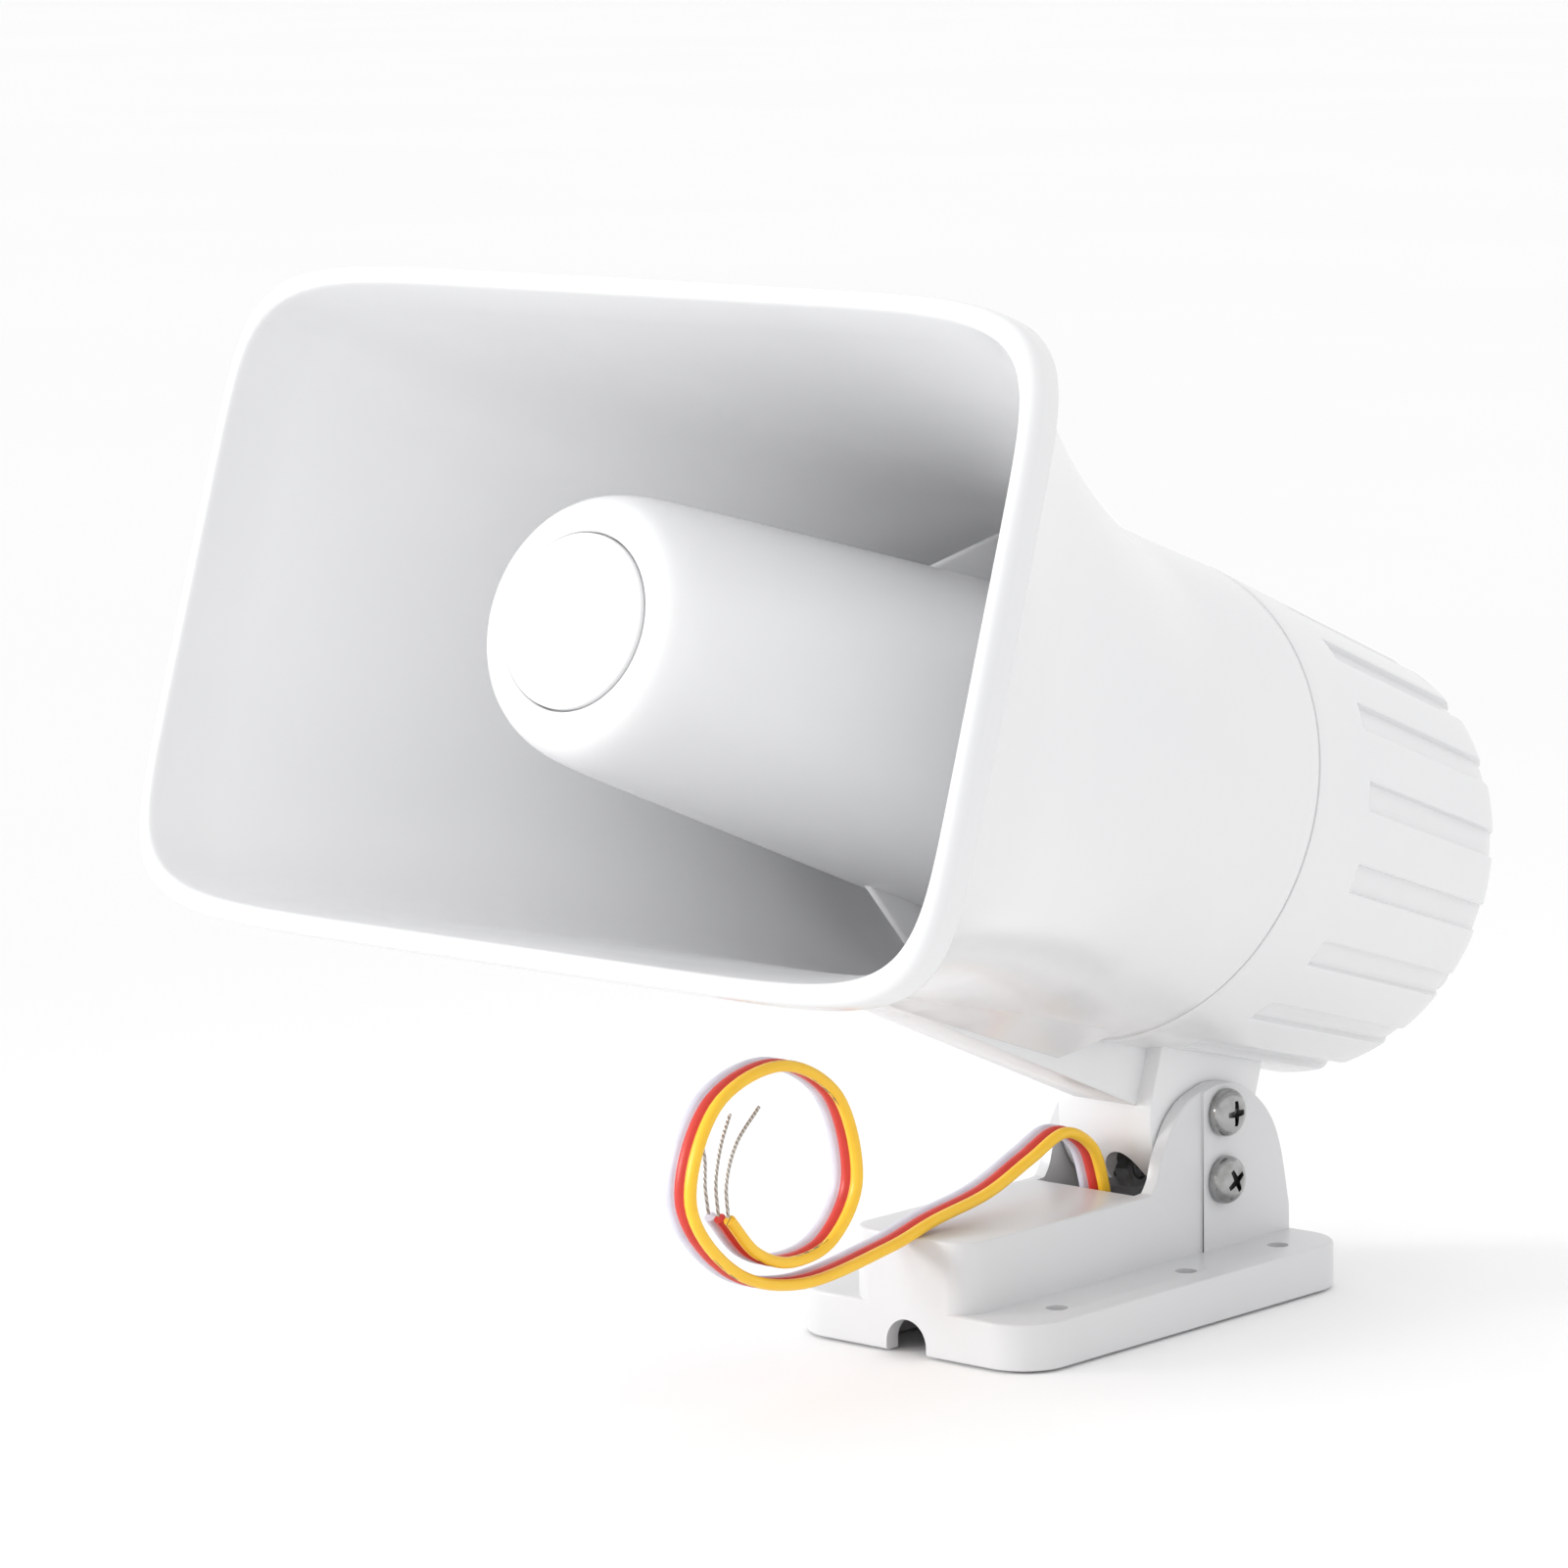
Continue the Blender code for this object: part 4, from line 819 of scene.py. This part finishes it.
def rear_cap():
    """The grooved cap with three deep screw wells in its back."""
    d = GROOVE_DEPTH
    e = HORN_LENGTH

    def skin(s):
        return BARREL - CAP_SLOPE * (s - SEAM)

    rows = [(SEAM + 10.0, BARREL - 2.2, 0), (SEAM + 0.6, BARREL - 2.2, 0), (SEAM + 0.3, BARREL - 1.9, 0),
            (SEAM + 0.3, BARREL - 0.5, 0), (SEAM + 0.45, BARREL - 0.15, 0), (SEAM + 0.9, BARREL - 0.02, 0),
            (SEAM + 4.0, skin(SEAM + 4.0), 0), (SEAM + 12.0, skin(SEAM + 12.0), 0),
            (SEAM + 18.6, skin(SEAM + 18.6), 0),
            (SEAM + 19.1, skin(SEAM + 19.1), 0.04 * d), (SEAM + 19.4, skin(SEAM + 19.4), 0.2 * d),
            (SEAM + 19.7, skin(SEAM + 19.7), 0.92 * d), (SEAM + 20.1, skin(SEAM + 20.1), d)]
    rows += [(SEAM + s, skin(SEAM + s), d) for s in (26.0, 34.0, 42.0, 50.0, 58.0, 63.0)]
    rows += [(e - 4.9, REAR + 0.36, d), (e - 3.6, REAR + 0.1, d * 0.93), (e - 2.4, REAR - 0.42, d * 0.72),
             (e - 1.4, REAR - 1.15, d * 0.44), (e - 0.6, REAR - 2.1, d * 0.2), (e - 0.12, REAR - 3.2, 0.04),
             (e, REAR - 4.1, 0), (e, REAR - 10.0, 0), (e, 24.0, 0), (e, 14.0, 0), (e, 6.0, 0), (e, 0.0, 0),
             (e - 2.5, 0.0, 0), (e - 2.5, 20.0, 0), (e - 2.5, REAR - 3.7, 0), (e - 3.2, REAR - 2.7, 0),
             (SEAM + 40.0, BARREL - 4.6, 0), (SEAM + 12.5, BARREL - 3.6, 0), (SEAM + 12.5, BARREL - 4.9, 0),
             (SEAM + 10.0, BARREL - 4.9, 0), (SEAM + 10.0, BARREL - 2.2, 0)]
    mesh = sweep("rear_cap_skin", [(s, r, r, 2.0, g) for s, r, g in rows], groove_turns(4), white_plastic)
    shell = linked("rear_cap_skin", mesh)
    wells = bmesh.new()
    for a in (90, 210, 330):
        x, z = POST_RING * math.cos(math.radians(a)), POST_RING * math.sin(math.radians(a))
        rod(wells, (x, e - 5.0, z), (x, e + 3.0, z), WELL_RADIUS, 40)
    wells = blank("wells", wells)
    join_or_cut(shell, wells, "DIFFERENCE")
    return horn_piece("grooved_rear_cap", settle(shell, [wells]), white_plastic,
                      ["rear_cap"], 34.0)


rear_cap()


# ---------------------------------------------------------------- things that repeat
def copies_tree():
    """Copies of a shape round the Y axis, or along Z, turned by a step at each."""
    tree = bpy.data.node_groups.new("repeated_piece", "GeometryNodeTree")
    b = Bench(tree)
    for name, kind in (("Piece", "NodeSocketGeometry"), ("Count", "NodeSocketInt"),
                       ("Offset", "NodeSocketVector"), ("Step", "NodeSocketVector"),
                       ("First Turn", "NodeSocketVector"), ("Turn Step", "NodeSocketVector"),
                       ("Finish", "NodeSocketMaterial")):
        tree.interface.new_socket(name=name, in_out="INPUT", socket_type=kind)
    tree.interface.new_socket(name="Copies", in_out="OUTPUT", socket_type="NodeSocketGeometry")
    source = tree.nodes.new("NodeGroupInput")
    given = {s.name: Wire(b, s) for s in source.outputs if s.name}
    index = b.node("GeometryNodeInputIndex")

    def stepped(first, step):
        scaled = b.node("ShaderNodeVectorMath", {"operation": "SCALE"}, {0: step, "Scale": index})
        return b.node("ShaderNodeVectorMath", {"operation": "ADD"}, {0: first, 1: scaled})

    turn = stepped(given["First Turn"], given["Turn Step"])
    line = b.node("GeometryNodeMeshLine", {"mode": "OFFSET"},
                  {"Count": given["Count"], "Offset": (0.0, 0.0, 0.0)})
    spot = b.node("ShaderNodeVectorRotate", {"rotation_type": "EULER_XYZ"},
                  {"Vector": given["Offset"], "Rotation": turn})
    moved = b.node("ShaderNodeVectorMath", {"operation": "ADD"},
                   {0: spot, 1: stepped((0.0, 0.0, 0.0), given["Step"])})
    placed = b.node("GeometryNodeSetPosition", None, {"Geometry": line, "Position": moved})
    rotation = b.node("FunctionNodeEulerToRotation", None, {0: turn})
    copied = b.node("GeometryNodeInstanceOnPoints", None,
                    {"Points": placed, "Instance": given["Piece"], "Rotation": rotation})
    real = b.node("GeometryNodeRealizeInstances", None, {"Geometry": copied})
    dressed = b.node("GeometryNodeSetMaterial", None, {"Geometry": real, "Material": given["Finish"]})
    sink = tree.nodes.new("NodeGroupOutput")
    tree.links.new(dressed.socket, sink.inputs[0])
    return tree


COPIES = copies_tree()


def repeated(helper, look, count, offset=(0, 0, 0), step=(0, 0, 0), first=(0, 0, 0), turn=(0, 0, 0)):
    return run_tree(helper, COPIES, {"Count": count, "Offset": offset, "Step": step, "First Turn": first,
                                     "Turn Step": turn, "Finish": look})


def spun(bm, profile, steps, closed=False):
    """Turns a line of (station, radius) once round the Y axis."""
    points = [bm.verts.new((r, s, 0.0)) for s, r in profile]
    nexts = points[1:] + (points[:1] if closed else [])
    edges = [bm.edges.new(pair) for pair in zip(points, nexts)]
    bmesh.ops.spin(bm, geom=points + edges, cent=(0, 0, 0), axis=(0, 1, 0), angle=2 * math.pi, steps=steps,
                   use_merge=True)


def cross_screw(name, seat, tip, shank, head, height, arm):
    """A pan-head cross-recess screw along Y. The head is at seat and faces +Y."""
    bm = bmesh.new()
    profile = [(tip, 0.0), (tip + 0.35, 0.75 * shank), (tip + 0.8, shank), (seat, shank),
               (seat, head * 0.97), (seat + 0.12 * height, head)]
    for a in (8, 18, 30, 42, 54, 66, 76):
        rise = height * (0.2 + 0.8 * math.sin(math.radians(a)))
        profile.append((seat + rise, head * math.cos(math.radians(a)) ** 0.62))
    profile.append((seat + height, 0.0))
    spun(bm, profile, 40)
    screw = blank(name, bm)
    w = 0.2 * arm
    crook = 1.35 * w
    plus = [(arm, -w), (arm, w), (crook, crook), (w, arm), (-w, arm), (-crook, crook),
            (-arm, w), (-arm, -w), (-crook, -crook), (-w, -arm), (w, -arm), (crook, -crook)]
    recess = bmesh.new()
    top = seat + height + 2.0
    low = seat + 0.42 * height
    high_ring = [recess.verts.new((x * 1.02, top, z * 1.02)) for x, z in plus]
    low_ring = [recess.verts.new((x * 0.74, low, z * 0.74)) for x, z in plus]
    recess.faces.new(high_ring)
    recess.faces.new(low_ring[::-1])
    for k in range(len(plus)):
        n = (k + 1) % len(plus)
        recess.faces.new((high_ring[k], high_ring[n], low_ring[n], low_ring[k]))
    recess = blank(name + "_recess", recess)
    join_or_cut(screw, recess, "DIFFERENCE")
    return linked(name, settle(screw, [recess]))


def yoke_screws():
    """Pivot and lock screws, a pair from each side of the yoke."""
    tip = TONGUE_HALF - TONGUE_WALL - GAP - 4.4
    one = cross_screw("yoke_screw", HEAD_SEAT, tip, SHANK, HEAD_RADIUS, HEAD_HEIGHT, 2.9)
    one.data.transform(Matrix.Rotation(-math.pi / 2, 4, "Z"))
    pair = repeated(one, plated, 2, step=(0.0, 0.0, -LOCK_DROP), turn=(math.radians(31.0), 0.0, 0.0))
    mesh = repeated(linked("yoke_screw_pair", pair), plated, 2, turn=(0.0, 0.0, math.pi))
    mesh.transform(TO_METRES @ Matrix.Translation(PIVOT))
    return dress("yoke_screws", mesh, plated, "base",
                 ["pivot_screw_right", "pivot_screw_left", "lock_screw_right", "lock_screw_left"], 30.0)


SMALL_SHANK = 1.45


def ring_of_screws(name, nodes, radius, first, seat, tip, shank, head, height):
    one = cross_screw(name, seat, tip, shank, head, height, head * 0.62)
    mesh = repeated(one, zinc, 3, offset=(radius, 0.0, 0.0), first=(0.0, -math.radians(first), 0.0),
                    turn=(0.0, -math.radians(120.0), 0.0))
    return horn_piece(name, mesh, zinc, nodes, 30.0)


yoke_screws()
ring_of_screws("cap_screws", ["cap_screw_1", "cap_screw_2", "cap_screw_3"], POST_RING, 90.0,
               SEAM + 25.3, SEAM + 9.0, SMALL_SHANK, 2.9, 2.6)
ring_of_screws("driver_screws", ["driver_screw_1", "driver_screw_2", "driver_screw_3"], DRIVER - 2.5, 30.0,
               BULKHEAD + 11.8, BULKHEAD - 1.6, SMALL_SHANK, 2.3, 1.8)


def cap_posts():
    """Tubes behind the cap's screw wells."""
    bm = bmesh.new()
    profile = [(SEAM + 21.3, 1.9), (SEAM + 21.3, 4.5), (HORN_LENGTH - 1.0, 4.5), (HORN_LENGTH - 0.6, 4.2),
               (HORN_LENGTH - 0.6, 3.3), (SEAM + 25.0, 3.3), (SEAM + 25.0, 1.9)]
    spun(bm, profile, 32, closed=True)
    mesh = repeated(blank("cap_post", bm), white_plastic, 3, offset=(POST_RING, 0.0, 0.0),
                    first=(0.0, -math.pi / 2, 0.0), turn=(0.0, -math.radians(120.0), 0.0))
    return horn_piece("cap_posts", mesh, white_plastic, (), 34.0)


cap_posts()


# ---------------------------------------------------------------- the reflector in the mouth
def reflector():
    br = BULLET
    end = br + BULLET_GROW * BULLET_END
    nose = [(5.7, 0.0), (5.7, br - 8.35), (5.5, br - 8.0), (3.6, br - 7.95), (3.3, br - 7.7), (3.2, br - 7.2),
            (3.18, br - 6.2), (3.3, br - 5.3), (3.62, br - 4.3), (4.15, br - 3.3), (4.95, br - 2.35),
            (6.0, br - 1.5), (7.4, br - 0.75), (9.2, br - 0.12), (11.5, br + 0.4), (14.5, br + 0.82),
            (18.0, br + 1.12)]
    rows = rounds(nose)
    rows += rounds([(s, br + BULLET_GROW * s) for s in (28.0, 40.0, 55.0, 70.0, 85.0, 100.0, 112.0)])
    rows += rounds([(BULLET_END - 0.4, end - 0.03), (BULLET_END, end - 0.4), (BULLET_END, end - 1.9),
                    (BULLET_END - 0.4, end - 2.2), (60.0, br - 2.2 + BULLET_GROW * 60.0), (20.0, br - 1.2),
                    (12.0, br - 2.6), (9.0, br - 5.0), (8.2, br - 7.5), (8.2, 0.0)])
    mesh = sweep("bullet", rows, even_turns(120), white_plastic)
    horn_piece("reflector_bullet", mesh, white_plastic, ["reflector"], 40.0)
    reach = BARREL - WALL - 0.4
    root = end - 1.1
    blade = [(BULLET_END - 27.0, root - 1.4), (BULLET_END - 1.0, reach - 1.0), (BULLET_END + 3.0, reach),
             (BULLET_END + 15.0, reach), (BULLET_END + 15.0, reach - 6.0), (BULLET_END - 0.3, root)]
    vane = prism_blank("vane", blade, -1.0, 1.0)
    soften(vane, 0.45, 3, 30.0)
    vane = linked("vane", settle(vane))
    mesh = repeated(vane, white_plastic, 4, turn=(0.0, math.pi / 2, 0.0))
    horn_piece("reflector_vanes", mesh, white_plastic, (), 40.0)
    d = DISC
    face = [(5.5, 0.0), (5.5, d - 0.1), (5.3, d), (3.1, d), (2.8, d - 0.12), (2.65, d - 0.4), (2.6, d - 0.9),
            (2.6, 10.4), (2.63, 9.6), (2.75, 8.9), (2.98, 8.1), (3.25, 7.1), (3.55, 6.0), (3.82, 4.8),
            (4.05, 3.6), (4.22, 2.4), (4.33, 1.2), (4.36, 0.62), (4.3, 0.55), (4.3, 0.3), (4.36, 0.22),
            (4.36, 0.0)]
    mesh = sweep("disc", rounds(face), even_turns(96), white_plastic, weld=5e-5)
    horn_piece("reflector_disc_face", mesh, white_plastic, ["reflector_disc"], 40.0)


reflector()


# ---------------------------------------------------------------- the base
def side_outline():
    """Side view of the box and the ears, (y, z)."""
    front = -HALF_LENGTH
    foot = EAR_TOP - BOX_HEIGHT
    rise = [(PIVOT_BACK + a, BOX_HEIGHT + foot * up) for a, up in (
        (-22.4, 0.005), (-21.4, 0.02), (-19.9, 0.135), (-18.9, 0.3), (-17.0, 0.5), (-14.4, 0.7),
        (-10.6, 0.865), (-5.6, 0.958), (-1.5, 1.0))]
    fall = [(PIVOT_BACK + a, EAR_TOP - down) for a, down in (
        (-1.5, 0.0), (4.4, 0.6), (8.4, 2.4), (11.6, 4.6), (14.8, 7.6), (17.6, 11.7), (19.8, 17.7),
        (22.1, 28.0))]
    points = [(front, 2.0), (front, BOX_HEIGHT), (BOX_END, BOX_HEIGHT)]
    points += [(p.x, p.y) for p in eased([Vector(p) for p in rise], 4)]
    points += [(p.x, p.y) for p in eased([Vector(p) for p in fall], 4)][1:]
    points += [(HALF_LENGTH - 0.9, BASE_HEIGHT), (HALF_LENGTH - 0.9, 2.0)]
    return points


FOOT_HOLES = (17.5, 57.6, 87.3)
FOOT_HOLE = 2.15
FOOT_BOSS = 4.3
NOTCH = 4.9


def mounting_base():
    front = -HALF_LENGTH
    outline = rounded(-BASE_WIDTH / 2, BASE_WIDTH / 2, front, HALF_LENGTH, 10.0, 14)
    flange = prism_blank("flange", outline, 0.0, BASE_HEIGHT, "Z")
    soften(flange, 0.7, 3, 40.0)
    side = side_outline()
    yoke = prism_blank("yoke", side, -HALF_YOKE - 5, HALF_YOKE + 5)
    outline = rounded(-HALF_YOKE, HALF_YOKE, front, HALF_LENGTH + 20, 6.0, 10)
    plan = prism_blank("plan", outline, 1.0, EAR_TOP + 20, "Z")
    helpers = [yoke, join_or_cut(yoke, plan, "INTERSECT")]
    soften(yoke, 0.6, 3, 40.0)
    join_or_cut(flange, yoke, "UNION")
    pad_front = PIVOT_BACK - 6.0
    start = min(z for y, z in side if pad_front - 1.5 < y < pad_front + 1.5 and z > BOX_HEIGHT)
    pad = [(pad_front, 4.0), (pad_front, start - 0.1)]
    pad += [(y, z - 0.08) for y, z in side if pad_front < y < HALF_LENGTH - 1.0 and z > BASE_HEIGHT + 1]
    pad += [(HALF_LENGTH - 1.2, BASE_HEIGHT - 1.0), (HALF_LENGTH - 1.2, 4.0)]
    pads = prism_blank("pads", pad, -HALF_YOKE - EAR_PAD, HALF_YOKE + EAR_PAD)
    soften(pads, 0.3, 2, 40.0)
    helpers.append(join_or_cut(flange, pads, "UNION"))
    hollow = bmesh.new()
    block(hollow, -HALF_YOKE + WALL, HALF_YOKE - WALL, front + WALL + 1.0, BOX_END - 4.5, -1.0,
          BOX_HEIGHT - WALL)
    block(hollow, -POCKET_HALF, POCKET_HALF, BOX_END - 0.5, HALF_LENGTH - 4.2, -1.0, EAR_TOP + 20)
    block(hollow, -6.0, 6.0, -3.0, BOX_END + 1.5, 3.5, 14.0)
    helpers.append(join_or_cut(flange, blank("hollow", hollow), "DIFFERENCE", crossing=True))
    for way in (-1, 1):
        wing = bmesh.new()
        low, high = sorted((way * (HALF_YOKE + 0.4), way * (BASE_WIDTH / 2 - WALL)))
        marks = (front + WALL, front + 34, 0.0, HALF_LENGTH - 22, HALF_LENGTH - WALL)
        for k, (y0, y1) in enumerate(zip(marks, marks[1:])):
            first = y0 + (8.7 if k == 0 else 0.9)
            end = y1 - (8.7 if k == len(marks) - 2 else 0.9)
            block(wing, low, high, first, end, -1.0, BASE_HEIGHT - WALL)
        helpers.append(join_or_cut(flange, blank("wing", wing), "DIFFERENCE"))
    hole_x = (BASE_WIDTH / 2 + HALF_YOKE) / 2 - 0.05
    bosses = bmesh.new()
    holes = bmesh.new()
    for way in (-1, 1):
        for y in (front + behind for behind in FOOT_HOLES):
            rod(bosses, (way * hole_x, y, 0.0), (way * hole_x, y, BASE_HEIGHT - 1.0), FOOT_BOSS, 24)
            rod(holes, (way * hole_x, y, -2.0), (way * hole_x, y, BASE_HEIGHT + 2), FOOT_HOLE, 32)
    helpers.append(join_or_cut(flange, blank("bosses", bosses), "UNION"))
    helpers.append(join_or_cut(flange, blank("holes", holes), "DIFFERENCE"))
    notch = [(-NOTCH, -1.0), (NOTCH, -1.0)]
    for k in range(25):
        a = math.pi * k / 24
        notch.append((NOTCH * math.cos(a), 1.7 + NOTCH * math.sin(a)))
    notch = prism_blank("notch", notch, front - 2, front + WALL + 2, "Y")
    helpers.append(join_or_cut(flange, notch, "DIFFERENCE"))
    bores = bmesh.new()
    for spot in (PIVOT, LOCK):
        rod(bores, (-40, spot.y, spot.z), (40, spot.y, spot.z), HOLE)
    helpers.append(join_or_cut(flange, blank("bores", bores), "DIFFERENCE"))
    mesh = settle(flange, helpers)
    mesh.transform(BASE_PLACE)
    return dress("yoke_base", mesh, base_plastic, "base", ["mounting_base"], 28.0)


mounting_base()

# ---------------------------------------------------------------- parts kept as they are
KEPT = (
    (zinc, ["pivot_nut_right", "pivot_nut_left", "lock_nut_right", "lock_nut_left", "top_plate",
            "back_plate", "board_screw_1", "board_screw_2"]),
    (white_plastic, ["throat_tube"]),
    (black, ["clamp_ring", "transistor_1", "transistor_2", "tone_chip"]),
    (ferrite, ["magnet_ring"]),
    (rubber, ["cap_gasket"]),
    (laminate, ["circuit_board"]),
    (copper, ["transformer", "voice_coil"]),
    (aluminium, ["heat_sink"]),
    (sleeve, ["capacitor_1", "capacitor_2"]),
    (film, ["diaphragm"]),
)
for look, names in KEPT:
    for name in names:
        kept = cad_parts[name]
        for place in kept.material_slots:
            place.material = look
        if not kept.material_slots:
            kept.data.materials.append(look)

# ---------------------------------------------------------------- floor and lights
scene.view_settings.view_transform = "Standard"
FLOOR_SIZE = 60.0
FLOOR_HEIGHT = -0.0005


def floor_finish(b):
    cloud = b.between(b.grain(2.0, 2.0), 0.3, 0.7)
    return {"Base Color": b.colours(cloud, rgb(0.97, 0.97, 0.97), rgb(0.98, 0.98, 0.98))}


bm = bmesh.new()
bmesh.ops.create_grid(bm, x_segments=8, y_segments=8, size=FLOOR_SIZE / 2)
floor_mesh = bpy.data.meshes.new("studio_floor")
bm.to_mesh(floor_mesh)
bm.free()
floor_mesh.materials.append(finish_of("studio_floor", floor_finish, Roughness=0.9))
floor = linked("studio_floor", floor_mesh)
floor.location.z = FLOOR_HEIGHT

world = bpy.data.worlds.new("studio")
world.use_nodes = True
world.node_tree.nodes["Background"].inputs["Color"].default_value = rgb(1.0, 1.0, 1.0)
world.node_tree.nodes["Background"].inputs["Strength"].default_value = 1.0
scene.world = world


def soft_box(name, spot, target, wide, high, power, spread):
    lamp = bpy.data.lights.new(name, "AREA")
    lamp.shape = "RECTANGLE"
    lamp.size = wide
    lamp.size_y = high
    lamp.energy = power
    lamp.spread = math.radians(spread)
    stand = linked(name, lamp)
    stand.location = spot
    stand.rotation_euler = (Vector(target) - Vector(spot)).to_track_quat("-Z", "Y").to_euler()


soft_box("left_box", (-0.85, -1.0, 0.42), (0.0, -0.08, 0.17), 0.45, 0.45, 0.42, 30.0)
soft_box("mouth_box", (-0.25, -1.2, 0.5), (0.0, -0.08, 0.17), 0.4, 0.4, 0.12, 30.0)
